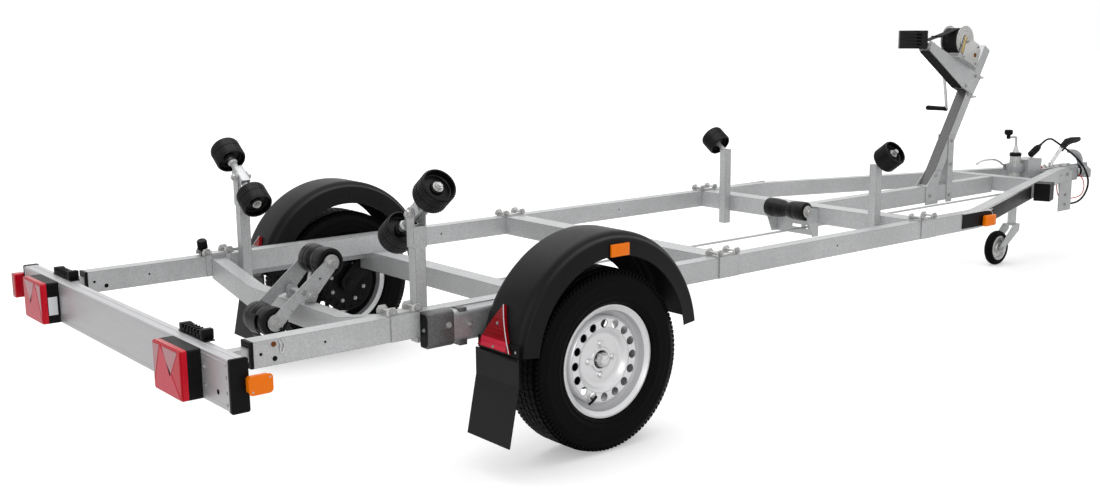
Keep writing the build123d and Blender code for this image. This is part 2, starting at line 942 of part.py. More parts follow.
def side_rocker():
    """Sloping bar with a roller pin at each end, hung between a rear post's lugs."""
    place = side_place(rear_post_x, rear_post_y, side_pivot_z, 0)
    reach = side_arm_reach + side_roller_length / 2 + 8
    inner = side_arm_reach - side_roller_length / 2 - run_gap
    bar_solid = Box(side_arm_width, side_arm_thick, 2 * inner)
    solid = place * (Cylinder(side_pin_radius, 2 * reach) + bar_solid)
    half = post_size / 2 + post_lug + 4
    return solid + rod_x(rear_post_y, side_pivot_z, rear_post_x - half, rear_post_x + half, side_pin_radius)


# ---------------------------------------------------------------- winch post
def winch_post():
    """Leaning square tube with its foot shoe and its upright channel strut."""
    slant = atan2(post_head_z - post_foot_z, post_head_x - post_foot_x)
    back = 60
    foot = (post_foot_x - back * cos(slant), 0, post_foot_z - back * sin(slant))
    head = (post_head_x, 0, post_head_z)
    lean = bar(foot, head, post_tube, post_tube)
    past = (post_head_x + 9, 0, post_head_z + 14)
    lean = lean - bar(foot, past, post_tube - 2 * post_wall, post_tube - 2 * post_wall)
    floor_z = keel_beam_top_z + fit_gap
    lean = lean - block(post_foot_x - 300, post_foot_x + 300, -post_tube, post_tube, 300, floor_z)
    y0 = keel_beam_width / 2 + fit_gap
    x0 = strut_x - strut_width / 2
    x1 = strut_x + strut_width / 2
    solid = lean
    for side in (-1, 1):
        near = side * y0
        far = side * (y0 + strut_plate)
        strut = block(x0, x1, min(near, far), max(near, far), shoe_low_z, strut_top_z)
        shoe = [
            (post_foot_x - shoe_half, shoe_low_z),
            (post_foot_x + shoe_half, shoe_low_z),
            (post_foot_x + shoe_half, keel_beam_top_z),
            (post_foot_x + 84, shoe_top_z),
            (post_foot_x + 26, shoe_top_z),
            (post_foot_x - shoe_half, keel_beam_top_z),
        ]
        solid = solid + strut + sheet_xz(shoe, min(near, far), max(near, far))
        solid = solid + seam(near, side)
    web = block(x0, x0 + strut_plate, -y0 - strut_plate, y0 + strut_plate, floor_z, 700)
    return solid + web


def seam(near, side):
    """Weld fillers between the post's side and the plates laid on it."""
    y0 = min(near, side * post_tube / 2)
    y1 = max(near, side * post_tube / 2)
    upper = block(strut_x - 14, strut_x + 14, y0, y1, strut_top_z - 60, strut_top_z - 30)
    lower = block(post_foot_x, post_foot_x + 30, y0, y1, keel_beam_top_z + 8, keel_beam_top_z + 34)
    return upper + lower


def bow_stop_arm():
    """Folded trough from the post up to the bow stop."""
    y0 = post_tube / 2 + fit_gap
    fall = sin(radians(winch_tilt)) / cos(radians(winch_tilt))
    skew = 0.75 * arm_plate
    outline = [
        (arm_tip_x, arm_tip_top_z),
        (arm_step_x, arm_step_z),
        (arm_knee_x, arm_knee_z),
        (arm_head_x, arm_knee_z - (arm_head_x - arm_knee_x) * fall),
        (arm_toe_x, arm_toe_z),
        (arm_heel_x, arm_heel_z),
        (arm_tip_x, arm_tip_low_z),
    ]
    solid = sheet_xz(outline, y0, y0 + arm_plate)
    solid = solid + mirrored(solid)
    inner = [
        (arm_tip_x, arm_tip_low_z),
        (arm_heel_x, arm_heel_z),
        (arm_heel_x + skew, arm_heel_z + arm_plate),
        (arm_tip_x + skew, arm_tip_low_z + arm_plate),
    ]
    solid = solid + sheet_xz(inner, -y0, y0)
    end_x = arm_knee_x + arm_strip
    end_z = arm_knee_z - arm_strip * fall
    top = [
        (arm_knee_x, arm_knee_z - 1.5),
        (end_x, end_z - 1.5),
        (end_x + 1.5, end_z + arm_plate - 0.3),
        (arm_knee_x + 1.5, arm_knee_z + arm_plate - 0.3),
    ]
    return solid + sheet_xz(top, -y0 - arm_plate, y0 + arm_plate)


def bow_stop():
    """Rubber V block for the stem of the boat."""
    half = stop_half
    outline = Polyline(
        (0, -40),
        (-stop_depth + 20, -half),
        (-stop_depth, -half + 22),
        (-40, 0),
        (-stop_depth, half - 22),
        (-stop_depth + 20, half),
        (0, 40),
        close=True,
    )
    body = Pos(stop_x, 0, stop_z - stop_height / 2) * extrude(make_face(outline), stop_height)
    y0 = post_tube / 2
    tongue = block(stop_x - 10, stop_x + 80, -y0, y0, 1284, 1302)
    return body + tongue


def winch_place():
    """The winch's own frame: its base lies on the arm's sloping top edge."""
    return Pos(drum_x, 0, drum_z) * Rot(0, winch_tilt, 0)


def winch_frame():
    """Base and side plates of the winch."""
    half = winch_drum_length / 2 + run_gap
    base = -winch_seat + winch_plate
    outline = [
        (-32, base),
        (150, base),
        (150, -4),
        (120, 22),
        (-24, 26),
    ]
    solid = block(-32, 150, -half - winch_plate, half + winch_plate, -winch_seat, base)
    for y in (-half - winch_plate, half):
        solid = solid + sheet_xz(outline, y, y + winch_plate)
    axle_rod = rod_y(0, 0, -half - 8, half + 8, 9)
    return winch_place() * (solid + axle_rod)


def winch_drum():
    """Drum core with its two discs."""
    half = winch_drum_length / 2
    core = rod_y(drum_x, drum_z, -half, half, winch_core_radius)
    for y in (-half, half - 3):
        core = core + rod_y(drum_x, drum_z, y, y + 3, winch_disc_radius)
    return core - rod_y(drum_x, drum_z, -half - 1, half + 1, 9 + pin_gap)


def winch_strap():
    """Webbing wound on the drum."""
    half = winch_drum_length / 2 - 3 - fit_gap
    coil = rod_y(drum_x, drum_z, -half, half, strap_radius)
    return coil - rod_y(drum_x, drum_z, -half - 1, half + 1, winch_core_radius + fit_gap)


def winch_crank():
    """Crank arm with its grip, on the left side."""
    lean = radians(crank_lean)
    tip_x = crank_x + crank_reach * sin(lean)
    tip_z = crank_z - crank_reach * cos(lean)
    base = winch_drum_length / 2 + run_gap + winch_plate + fit_gap
    shaft = rod_y(crank_x, crank_z, base, crank_y, 9)
    arm = bar((crank_x, crank_y, crank_z), (tip_x, crank_y, tip_z), 8, 24)
    grip = rod_y(tip_x, tip_z, crank_y, crank_y + crank_grip_length, 14)
    return shaft + arm + grip


# ---------------------------------------------------------------- nose
def overrun_housing():
    """Cast overrun housing between the rails."""
    half = nose_half_gap - fit_gap
    z0 = housing_low_z
    solid = block(housing_rear_x, housing_front_x, -half + 6, half - 6, z0, z0 + housing_height)
    solid = fillet(solid.edges().filter_by(Axis.X), 14)
    lug = block(housing_rear_x + 20, nose_end_x - 10, -half, half, housing_z - 28, housing_z + 28)
    collar = rod_x(0, housing_z, housing_front_x - 30, housing_front_x, 50)
    return solid + lug + collar


def draw_bellows():
    """Rubber bellows over the draw shaft."""
    steps = 5
    x0 = housing_front_x + fit_gap
    pitch = (bellows_front_x - x0) / steps
    points = [(0, 20)]
    for i in range(steps):
        points.append((i * pitch, 33))
        points.append(((i + 0.5) * pitch, 43))
    points.append((steps * pitch, 33))
    points.append((steps * pitch, 20))
    face = make_face(Polyline(*points, close=True))
    return Pos(x0, 0, housing_z) * revolve(face, Axis.X)


def coupling_head():
    """Draw shaft and pressed head with the ball socket below its nose."""
    shaft = rod_x(0, housing_z, housing_front_x + fit_gap, ball_x, 19)
    neck = rod_x(0, housing_z, bellows_front_x + fit_gap, ball_x, 30)
    dome = Pos(ball_x, 0, ball_z + 4) * Cylinder(head_radius, 58)
    dome = fillet(dome.edges().group_by(Axis.Z)[-1], 16)
    ears = block(ball_x - 70, ball_x, -16, 16, housing_z, housing_z + 44)
    solid = shaft + neck + dome + ears
    mouth = rod_z(ball_x, 0, ball_z - 40, ball_z, ball_radius)
    return solid - mouth - Pos(ball_x, 0, ball_z) * Sphere(ball_radius)


def coupling_handle():
    """Curved lever of the coupling lock, over the bellows."""
    path = FilletPolyline(
        (ball_x - 52, housing_z + 46),
        (ball_x - 62, housing_z + 82),
        (lock_bend_x, lock_bend_z),
        (lock_end_x, lock_end_z),
        radius=[20, 30],
    )
    strip = extrude(trace(path, lock_thick), lock_width / 2, both=True)
    return Rot(90, 0, 0) * strip


def handbrake_lever():
    """Handbrake lever with its loop grip, on the right of the housing."""
    y = brake_lever_y
    half = brake_lever_thick / 2
    lever = bar((brake_pivot_x, y, brake_pivot_z), (brake_elbow_x, y, brake_elbow_z), 2 * half, 22)
    hub = rod_y(brake_pivot_x, brake_pivot_z, y - half, y + half, 20)
    top_z = housing_z + housing_height / 2
    foot = block(brake_pivot_x - 24, brake_pivot_x + 24, y - half, y + half, top_z, brake_pivot_z)
    place = Pos(grip_x, y, grip_z) * Rot(90, 0, 0) * Rot(0, 0, grip_lean)
    loop = place * extrude(SlotOverall(grip_length, grip_height), grip_half_width, both=True)
    hole = place * Pos(10, 0, 0) * extrude(SlotOverall(grip_hole_length, grip_hole_height), 20, both=True)
    return lever + hub + foot + (loop - hole)


def nose_brackets():
    """Box bracket of the jockey clamp and the hanging side plate."""
    x0 = box_rear_x
    x1 = housing_rear_x - fit_gap
    half = box_half
    box_solid = block(x0, x1, -half, half, box_low_z, box_top_z)
    wall = box_plate
    hollow = block(x0 + wall, x1 - wall, -half + wall, half - wall, box_low_z - 1, box_top_z - wall)
    y1 = -(nose_half_gap - 6)
    y0 = y1 - side_plate_thick
    z1 = housing_z + 20
    plate = block(side_plate_rear_x, side_plate_front_x, y0, y1, side_plate_low_z, z1)
    return [box_solid - hollow, plate]


# ---------------------------------------------------------------- jockey wheel
def jockey_clamp():
    """Split clamp round the jockey tube with its T handle."""
    z0 = jockey_clamp_z - jockey_clamp_half
    z1 = jockey_clamp_z + jockey_clamp_half
    x1 = box_rear_x - fit_gap
    bore = jockey_tube_radius + pin_gap
    y0 = jockey_tube_radius
    y1 = y0 + jockey_ear
    solid = rod_z(jockey_x, 0, z0, z1, jockey_tube_radius + jockey_clamp_wall)
    solid = solid + block(jockey_x, x1, -y0, y0, z0, z1)
    ear = block(jockey_x - 24, jockey_x + 24, y0, y1, z0 + 8, z1 - 8)
    start = (jockey_x, y1 - 10, jockey_clamp_z)
    end = (jockey_x - jockey_handle_length, y1 - 10, jockey_clamp_z + 14)
    handle = bar(start, end, 12, 12)
    return solid + ear + handle - rod_z(jockey_x, 0, z0 - 1, z1 + 1, bore)


def jockey_tube():
    """Outer tube of the jockey wheel with its winding handle."""
    x = jockey_x
    z1 = jockey_top_z
    z2 = z1 + jockey_stem
    knob_x = x - jockey_crank + 10
    tube = rod_z(x, 0, jockey_low_z, z1, jockey_tube_radius)
    bore = rod_z(x, 0, jockey_low_z - 1, z1 - 20, jockey_inner_radius + pin_gap)
    stem = rod_z(x, 0, z1, z2, 8)
    crank = block(x - jockey_crank, x + 8, -7, 7, z2 - 8, z2)
    neck = rod_z(knob_x, 0, z2, z2 + 14, 9)
    knob = rod_z(knob_x, 0, z2 + 14, z2 + 14 + jockey_knob, 22)
    return tube - bore + stem + crank + neck + knob


def jockey_fork():
    """Inner tube, crown and fork that swivel in the outer tube."""
    axle_z = jockey_wheel_radius
    wheel_x = jockey_x - jockey_trail
    half = jockey_wheel_width / 2 + run_gap
    crown_z = axle_z + 128
    solid = rod_z(jockey_x, 0, crown_z, jockey_top_z - 260, jockey_inner_radius)
    solid = solid + block(jockey_x - 34, jockey_x + 30, -half - 5, half + 5, crown_z - 8, crown_z)
    for y in (-half - 5, half):
        outline = [
            (jockey_x - 34, crown_z),
            (jockey_x + 30, crown_z),
            (jockey_x + 26, crown_z - 40),
            (wheel_x + 8, axle_z - 20),
            (wheel_x - 12, axle_z + 16),
        ]
        solid = solid + sheet_xz(outline, y, y + 5)
        solid = solid + rod_y(wheel_x, axle_z, y, y + 5, 20)
    return solid + rod_y(wheel_x, axle_z, -half - 12, half + 12, jockey_pin_radius)


def jockey_wheel():
    """Small solid-tyred wheel with a dished hub."""
    x = jockey_x - jockey_trail
    r = jockey_wheel_radius
    half = jockey_wheel_width / 2
    outline = [
        (jockey_pin_radius + pin_gap, -half + 2),
        (26, -half + 2),
        (30, -half + 12),
        (56, -half + 12),
        (60, -half + 4),
        (r - 22, -half),
        (r - 8, -half + 4),
        (r, -half + 14),
    ]
    whole = outline + [(a, -b) for a, b in reversed(outline)]
    return Pos(x, 0, r) * revolve(make_face(Polyline(*whole, close=True)), Axis.Y)


# ---------------------------------------------------------------- flags, rods and cords
def marker_flags():
    """Black plates that run on straight past the rails' bends, and the chock box."""
    y0 = rail_outer_y + fit_gap
    z0 = rail_top_z - flag_height
    plate = block(flag_rear_x, flag_front_x, y0, y0 + flag_thick, z0, rail_top_z)
    return both(plate) + [chock_box()]


def chock_box():
    """Black box for a wheel chock on the outer face of the right rail, open in front."""
    slant = degrees(atan2(rail_mid_y - nose_mid_y, nose_join_x - rail_bend_x))
    y = -draw_middle(chock_x)
    y0 = -rail_width / 2 - fit_gap
    y1 = y0 - chock_width
    low = rail_top_z - chock_height
    wall = chock_wall
    solid = block(0, chock_length, y1, y0, low, rail_top_z)
    inside = block(wall, chock_length + 1, y1 + wall, y0 - wall, low + wall, rail_top_z - wall)
    return Pos(chock_x, y, 0) * Rot(0, 0, slant) * (solid - inside)


def flag_lamps():
    """Orange lamps on the front ends of the flags, and the fenders' orange reflectors."""
    y0 = rail_outer_y + 2 * fit_gap + flag_thick
    x1 = flag_front_x - 2
    z0 = rail_top_z - flag_height - 4
    lamp = block(x1 - flag_lamp_length, x1, y0, y0 + flag_lamp_depth, z0, z0 + flag_lamp_height)
    return both(fillet(lamp.edges().filter_by(Axis.Y), 8)) + both(side_reflector())


def brake_rod():
    """Long brake rod from the housing back to the axle."""
    y = brake_rod_y
    z = brake_rod_z
    x0 = axle_x + axle_tube / 2 + fit_gap
    x1 = housing_rear_x + 60
    rod = rod_x(y, z, x0 + 30, x1, brake_rod_radius)
    riser = block(x1 - 14, x1, y - 8, y + 40, z - 8, housing_low_z)
    yoke = block(x0, x0 + 34, y - 40, y + 40, z - 10, z + 10)
    hanger = block(axle_beam_x - 20, axle_beam_x + 20, y - 12, y + 12, z - 10, rail_low_z)
    return rod + riser + yoke + hanger


def light_cable():
    """Lighting cable from its parked plug over the nose and back under it."""
    points = [
        (4316, 0, 677),
        (4400, 6, 718),
        (4530, 10, 668),
        (4640, -40, 590),
        (4740, -64, 500),
        (4800, -64, 390),
        (4700, -56, 286),
        (4540, -8, 300),
        (4540, -8, housing_low_z - fit_gap),
    ]
    tube = cord(points, light_cord_radii, light_cord_radius)
    plug = Pos(4262, 0, 651) * Rot(0, 90 - 26, 0) * Cylinder(20, 130)
    return tube + plug


def breakaway_cable():
    """Thin red safety cord hanging below the nose."""
    points = [
        (4668, -60, 470),
        (4716, -74, 440),
        (4704, -78, 340),
        (4612, -40, 322),
        (4470, -30, 340),
        (4470, -30, housing_low_z - fit_gap),
    ]
    return cord(points, safety_cord_radii, safety_cord_radius)


# ---------------------------------------------------------------- saving
os.makedirs("parts", exist_ok=True)


def save(name, shape):
    """Move a piece to the row's frame and write it."""
    solids = shape if isinstance(shape, list) else shape.solids()
    moved = [Pos(-middle_x, 0, 0) * s for s in solids]
    whole = moved[0] if len(moved) == 1 else Compound(children=moved)
    export_step(whole, "parts/" + name + ".step")


save("frame_rail_left", rail(1))
save("frame_rail_right", rail(-1))
save("black_caps", black_caps())
save("rear_cross_beam", rear_beam())
save("cross_beams", cross_beams())
save("beam_clamps", beam_clamps())
save("keel_beam", keel_beam())
save("axle_beam", axle())
save("axle_brackets", axle_brackets())
save("mudflaps", both(mudflap()))
save("fender_reflectors", fender_reflectors())
save("light_board", light_board())
save("board_end_caps", board_end_caps())
save("board_slide_tubes", board_slide_tubes())
save("board_buckles", board_buckles())
save("lamp_housings", lamp_housings())
save("lamp_lenses", lamp_lenses())
save("board_markers", board_markers())
save("keel_rocker", keel_rocker())
save("keel_roller_rear", keel_roller(rocker_rear_x, rocker_rear_z))
save("keel_roller_fore", keel_roller(rocker_fore_x, rocker_fore_z))
save("bow_roller", bow_roller())
save("bow_roller_bracket", bow_roller_bracket())
save("roller_posts", roller_posts())
save("winch_post", winch_post())
save("bow_stop_arm", bow_stop_arm())
save("bow_stop", bow_stop())
save("winch_frame", winch_frame())
save("winch_drum", winch_drum())
save("winch_strap", winch_strap())
save("winch_crank", winch_crank())
save("overrun_housing", overrun_housing())
save("draw_bellows", draw_bellows())
save("coupling_head", coupling_head())
save("coupling_handle", coupling_handle())
save("handbrake_lever", handbrake_lever())
save("nose_brackets", nose_brackets())
save("jockey_clamp", jockey_clamp())
save("jockey_tube", jockey_tube())
save("jockey_fork", jockey_fork())
save("jockey_wheel", jockey_wheel())
save("marker_flags", marker_flags())
save("flag_lamps", flag_lamps())
save("brake_rod", brake_rod())
save("light_cable", light_cable())
save("breakaway_cable", breakaway_cable())

rear_place = (rear_post_x, rear_post_y, side_pivot_z)
front_place = (front_post_x, front_post_y, front_post_top_z - stub_drop)
side_table = [
    # piece, shape on the left side
    ("rim", rim()),
    ("tyre", tyre()),
    ("fender", fender()),
    ("side_rocker", side_rocker()),
    ("side_roller_outer", side_place(*rear_place, side_arm_reach) * side_roller()),
    ("side_roller_inner", side_place(*rear_place, -side_arm_reach) * side_roller()),
    ("side_roller_front", side_place(*front_place, front_stub_reach) * side_roller()),
]
for piece, shape in side_table:
    save(piece + "_left", shape)
    save(piece + "_right", mirrored(shape))
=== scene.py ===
# %% [markdown]
# # A boat trailer, dressed in Blender
#
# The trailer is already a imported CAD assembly: rails, axle, wheels, rollers, winch and coupling,
# each on its own moving body. Blender adds what a drawing leaves out: tread, ribs, bolts,
# lamps with real lenses, cords that hang, and finishes that look like zinc, rubber and paint.
# The CAD frame is loaded first and is never moved, so every new piece goes where the drawing says.

# %% Load the frame
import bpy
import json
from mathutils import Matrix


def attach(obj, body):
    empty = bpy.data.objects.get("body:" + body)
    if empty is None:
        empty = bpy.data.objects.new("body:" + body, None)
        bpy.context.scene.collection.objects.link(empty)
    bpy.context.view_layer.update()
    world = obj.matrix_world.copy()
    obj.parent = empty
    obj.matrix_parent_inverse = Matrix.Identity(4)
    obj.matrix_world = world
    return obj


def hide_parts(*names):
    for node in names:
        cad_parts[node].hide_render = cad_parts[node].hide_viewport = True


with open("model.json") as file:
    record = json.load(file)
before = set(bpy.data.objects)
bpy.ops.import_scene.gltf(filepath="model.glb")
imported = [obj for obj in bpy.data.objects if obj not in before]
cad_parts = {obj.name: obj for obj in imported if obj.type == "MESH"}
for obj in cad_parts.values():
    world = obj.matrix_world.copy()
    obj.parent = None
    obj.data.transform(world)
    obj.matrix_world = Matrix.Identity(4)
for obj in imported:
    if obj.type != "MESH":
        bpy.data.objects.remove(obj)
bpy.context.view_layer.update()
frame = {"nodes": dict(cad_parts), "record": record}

# %% [markdown]
# The workshop drawing measures in millimetres from the wheel axle, which is the handy way to
# think about a trailer. The frame counts in metres from the middle of the whole length. One small
# function turns the first into the second, so that every number below can be read on a drawing.

# %% Millimetres from the axle
import json
import math
import bmesh
import bpy
from mathutils import Matrix, Vector

axle_behind_middle = 1747.0
wheel_y = 869.0
wheel_z = 314.5
both_sides = ((1, "_left"), (-1, "_right"))


def at(x, y, z):
    """A point of the drawing, in the frame's metres."""
    return Vector(((x - axle_behind_middle) / 1000, y / 1000, z / 1000))


print("the wheel centre is at", tuple(round(v, 3) for v in at(0, wheel_y, wheel_z)))

# %% [markdown]
# The camera stands behind the right rear corner, at about head height. Its aim is given by three
# angles (turn, tilt, roll) that can be thought of one by one. Euler angles would do as well, but a
# matrix built from the three avoids any doubt about the order in which they are applied.

# %% Camera
def camera_turn(turn, tilt, roll):
    """Rotation of a camera that looks `tilt` below the horizon, `turn` from +X towards +Y."""
    ahead = Vector((math.cos(turn) * math.cos(tilt), math.sin(turn) * math.cos(tilt), -math.sin(tilt)))
    right = Vector((math.sin(turn), -math.cos(turn), 0.0))
    down = ahead.cross(right)
    level_right = right * math.cos(roll) + down * math.sin(roll)
    level_down = down * math.cos(roll) - right * math.sin(roll)
    return Matrix((level_right, -level_down, -ahead)).transposed()


camera_place = (-4.48624, -4.02717, 1.45844)
camera_angles = (0.89037, 0.18391, 0.00909)
camera_data = bpy.data.cameras.new("camera")
camera_data.lens = 41.40
camera_data.sensor_width = 36.0
camera_data.sensor_fit = "HORIZONTAL"
camera_data.clip_end = 200.0
camera = bpy.data.objects.new("camera", camera_data)
camera.matrix_world = Matrix.Translation(camera_place) @ camera_turn(*camera_angles).to_4x4()
bpy.context.collection.objects.link(camera)
bpy.context.scene.camera = camera
bpy.context.scene.view_settings.view_transform = "Standard"
print("camera height", round(camera.location.z, 2), "m")

# %% [markdown]
# Two cords hang at the nose. The lighting cable is a stiff rubber cord of 12 mm, with its plug
# parked in the bracket behind the coupling. The breakaway cord is a thin red plastic-coated wire.
# A NURBS curve of order 3 is the natural tool: a few given points give one smooth line that
# bends as a cable does. The order and the end-point flag are set after the points, because a
# new spline has too few points to accept them.

# %% Cords
def hanging_cord(name, route, radius):
    """A round cord along given points of the drawing."""
    curve = bpy.data.curves.new(name, "CURVE")
    curve.dimensions = "3D"
    curve.bevel_depth = radius / 1000
    curve.bevel_resolution = 4
    curve.resolution_u = 16
    curve.use_fill_caps = True
    spline = curve.splines.new("NURBS")
    spline.points.add(len(route) - 1)
    for point, (x, y, z) in zip(spline.points, route):
        point.co = (*at(x, y, z), 1.0)
    spline.order_u = 3
    spline.use_endpoint_u = True
    cord = bpy.data.objects.new(name, curve)
    bpy.context.collection.objects.link(cord)
    return cord


light_route = [
    (4540, -8, 436.7),
    (4540, -8, 300),
    (4700, -56, 286),
    (4800, -64, 390),
    (4740, -64, 500),
    (4640, -40, 590),
    (4530, 10, 668),
    (4400, 6, 718),
    (4316, 0, 677),
]
safety_route = [
    (4470, -30, 436.7),
    (4470, -30, 340),
    (4612, -40, 322),
    (4704, -78, 340),
    (4716, -74, 440),
    (4668, -60, 470),
]
lighting_cable = hanging_cord("lighting_cable", light_route, 6.0)
safety_cord = hanging_cord("safety_cord", safety_route, 3.0)
print("cord points", len(light_route), len(safety_route))

# %% [markdown]
# The studio is a pale floor and a white room. The world sends a moderate white light to the
# object, but shows itself as plain white to the camera and in reflections, so that metal mirrors
# a bright room. One very large lamp overhead makes the soft shadow under the wheels.

# %% Studio
def add_floor():
    """A wide pale floor that keeps shadows."""
    mesh = bpy.data.meshes.new("floor")
    half = 40.0
    corners = [(-half, -half, 0), (half, -half, 0), (half, half, 0), (-half, half, 0)]
    mesh.from_pydata(corners, [], [(0, 1, 2, 3)])
    floor = bpy.data.objects.new("floor", mesh)
    bpy.context.collection.objects.link(floor)
    finish = bpy.data.materials.new("pale_floor")
    finish.use_nodes = True
    tree = finish.node_tree
    shader = tree.nodes["Principled BSDF"]
    shader.inputs["Base Color"].default_value = (0.86, 0.86, 0.86, 1)
    shader.inputs["Roughness"].default_value = 0.9
    shader.inputs["Specular IOR Level"].default_value = 0.1
    shader.inputs["Emission Color"].default_value = (1, 1, 1, 1)
    rays = tree.nodes.new("ShaderNodeLightPath")
    where = tree.nodes.new("ShaderNodeTexCoord")
    away = tree.nodes.new("ShaderNodeVectorMath")
    away.operation = "LENGTH"
    tree.links.new(where.outputs["Object"], away.inputs[0])
    far = tree.nodes.new("ShaderNodeMapRange")
    far.inputs["From Min"].default_value = 3.0
    far.inputs["From Max"].default_value = 14.0
    far.inputs["To Min"].default_value = 0.34
    far.inputs["To Max"].default_value = 1.0
    tree.links.new(away.outputs["Value"], far.inputs["Value"])
    glow = tree.nodes.new("ShaderNodeMath")
    glow.operation = "MULTIPLY"
    tree.links.new(rays.outputs["Is Camera Ray"], glow.inputs[0])
    tree.links.new(far.outputs["Result"], glow.inputs[1])
    tree.links.new(glow.outputs[0], shader.inputs["Emission Strength"])
    mesh.materials.append(finish)


def add_room():
    """White for camera, glossy and transmission rays, softer for the light on the object."""
    world = bpy.data.worlds.new("room")
    world.use_nodes = True
    bpy.context.scene.world = world
    tree = world.node_tree
    tree.nodes.clear()
    rays = tree.nodes.new("ShaderNodeLightPath")
    first = tree.nodes.new("ShaderNodeMath")
    second = tree.nodes.new("ShaderNodeMath")
    first.operation = second.operation = "MAXIMUM"
    seen = tree.nodes.new("ShaderNodeBackground")
    light = tree.nodes.new("ShaderNodeBackground")
    seen.inputs["Color"].default_value = light.inputs["Color"].default_value = (1, 1, 1, 1)
    seen.inputs["Strength"].default_value = 1.0
    light.inputs["Strength"].default_value = 0.62
    mix = tree.nodes.new("ShaderNodeMixShader")
    sky = tree.nodes.new("ShaderNodeOutputWorld")
    link = tree.links.new
    link(rays.outputs["Is Camera Ray"], first.inputs[0])
    link(rays.outputs["Is Glossy Ray"], first.inputs[1])
    link(first.outputs[0], second.inputs[0])
    link(rays.outputs["Is Transmission Ray"], second.inputs[1])
    link(second.outputs[0], mix.inputs["Fac"])
    link(light.outputs[0], mix.inputs[1])
    link(seen.outputs[0], mix.inputs[2])
    link(mix.outputs[0], sky.inputs["Surface"])


def add_lamp(name, spot, aim, size, power):
    """A square soft lamp at a spot, turned to its aim, in metres."""
    data = bpy.data.lights.new(name, "AREA")
    data.shape = "SQUARE"
    data.size = size
    data.energy = power
    lamp = bpy.data.objects.new(name, data)
    lamp.location = spot
    lamp.rotation_euler = (Vector(aim) - Vector(spot)).to_track_quat("-Z", "Y").to_euler()
    bpy.context.collection.objects.link(lamp)


add_floor()
add_room()
add_lamp("overhead", (-0.5, 0.6, 6.0), (0.2, 0.0, 0.0), 7.0, 260.0)
add_lamp("side_fill", (-5.5, -5.5, 2.6), (0.5, 0.0, 0.5), 3.0, 60.0)
print("lamps", len(bpy.data.lights))

# %% [markdown]
# ## Finishes
#
# Every finish starts from one Principled shader whose plain values are set on its own sockets.
# Effects that several finishes share are node groups, built once: grain (fine bumps), blotches
# (slow change of tone), worn edges, and the crystals of hot-dip zinc. A group only puts out a
# value, and the finish decides what it does with it.

# %% Small helpers for node trees
def new_group(name, inputs, outputs):
    """An empty shader group with float inputs and outputs; returns it with its two end nodes."""
    group = bpy.data.node_groups.new(name, "ShaderNodeTree")
    for label, value in inputs:
        socket = group.interface.new_socket(label, in_out="INPUT", socket_type="NodeSocketFloat")
        socket.default_value = value
    for label in outputs:
        group.interface.new_socket(label, in_out="OUTPUT", socket_type="NodeSocketFloat")
    return group, group.nodes.new("NodeGroupInput"), group.nodes.new("NodeGroupOutput")


def add_math(tree, operation, first, second, clamp=False):
    """A Math node whose inputs are sockets or plain numbers; returns its output."""
    node = tree.nodes.new("ShaderNodeMath")
    node.operation = operation
    node.use_clamp = clamp
    for socket, value in zip(node.inputs, (first, second)):
        if isinstance(value, (int, float)):
            socket.default_value = value
        else:
            tree.links.new(value, socket)
    return node.outputs[0]


def spread(tree, value, low, high):
    """Stretch a 0 to 1 value between two numbers."""
    node = tree.nodes.new("ShaderNodeMapRange")
    node.inputs["To Min"].default_value = low
    node.inputs["To Max"].default_value = high
    tree.links.new(value, node.inputs["Value"])
    return node.outputs[0]


# %% [markdown]
# Moulded plastic and rubber are never mirror smooth, because the mould leaves a fine grain. It could
# be an image of a surface, but noise has no seams and no end, and its scale can be set to suit a
# tyre or a thin cable.

# %% Group: fine grain
grain_group, ends_in, ends_out = new_group("fine_grain", [("Scale", 400.0), ("Detail", 3.0)], ["Height"])
where = grain_group.nodes.new("ShaderNodeTexCoord")
noise = grain_group.nodes.new("ShaderNodeTexNoise")
grain_group.links.new(where.outputs["Object"], noise.inputs["Vector"])
grain_group.links.new(ends_in.outputs["Scale"], noise.inputs["Scale"])
grain_group.links.new(ends_in.outputs["Detail"], noise.inputs["Detail"])
grain_group.links.new(noise.outputs["Fac"], ends_out.inputs["Height"])
print("group", grain_group.name)

# %% [markdown]
# Edges catch hands first, so plastic and metal take another tone there as they wear. The same mask
# also paints light along edges: a painted highlight on bright metal, and painted shade on zinc and on
# the silver wheel. A mask in an image would need a UV map on every piece. A Bevel node bends the
# normal near an edge instead, and where it differs from the true normal there is an edge. Noise
# breaks the line up.

# %% Group: edge wear, painted highlight and painted shade
edge_group, ends_in, ends_out = new_group("edge_wear_and_light_mask", [("Width", 0.0015), ("Contrast", 6.0)], ["Mask"])
bent = edge_group.nodes.new("ShaderNodeBevel")
bent.samples = 4
true = edge_group.nodes.new("ShaderNodeNewGeometry")
compare = edge_group.nodes.new("ShaderNodeVectorMath")
compare.operation = "DOT_PRODUCT"
edge_group.links.new(ends_in.outputs["Width"], bent.inputs["Radius"])
edge_group.links.new(bent.outputs["Normal"], compare.inputs[0])
edge_group.links.new(true.outputs["Normal"], compare.inputs[1])
differ = add_math(edge_group, "SUBTRACT", 1.0, compare.outputs["Value"])
strong = add_math(edge_group, "MULTIPLY", differ, ends_in.outputs["Contrast"])
where = edge_group.nodes.new("ShaderNodeTexCoord")
chips = edge_group.nodes.new("ShaderNodeTexNoise")
chips.inputs["Scale"].default_value = 90.0
edge_group.links.new(where.outputs["Object"], chips.inputs["Vector"])
broken = add_math(edge_group, "MULTIPLY", strong, chips.outputs["Fac"], clamp=True)
edge_group.links.new(broken, ends_out.inputs["Mask"])
print("group", edge_group.name)

# %% [markdown]
# What stands outside gathers stains, and dust on whatever faces up. Slow noise gives the tone, and
# the upward part of the normal says where dust can lie, so one group works on every shape.

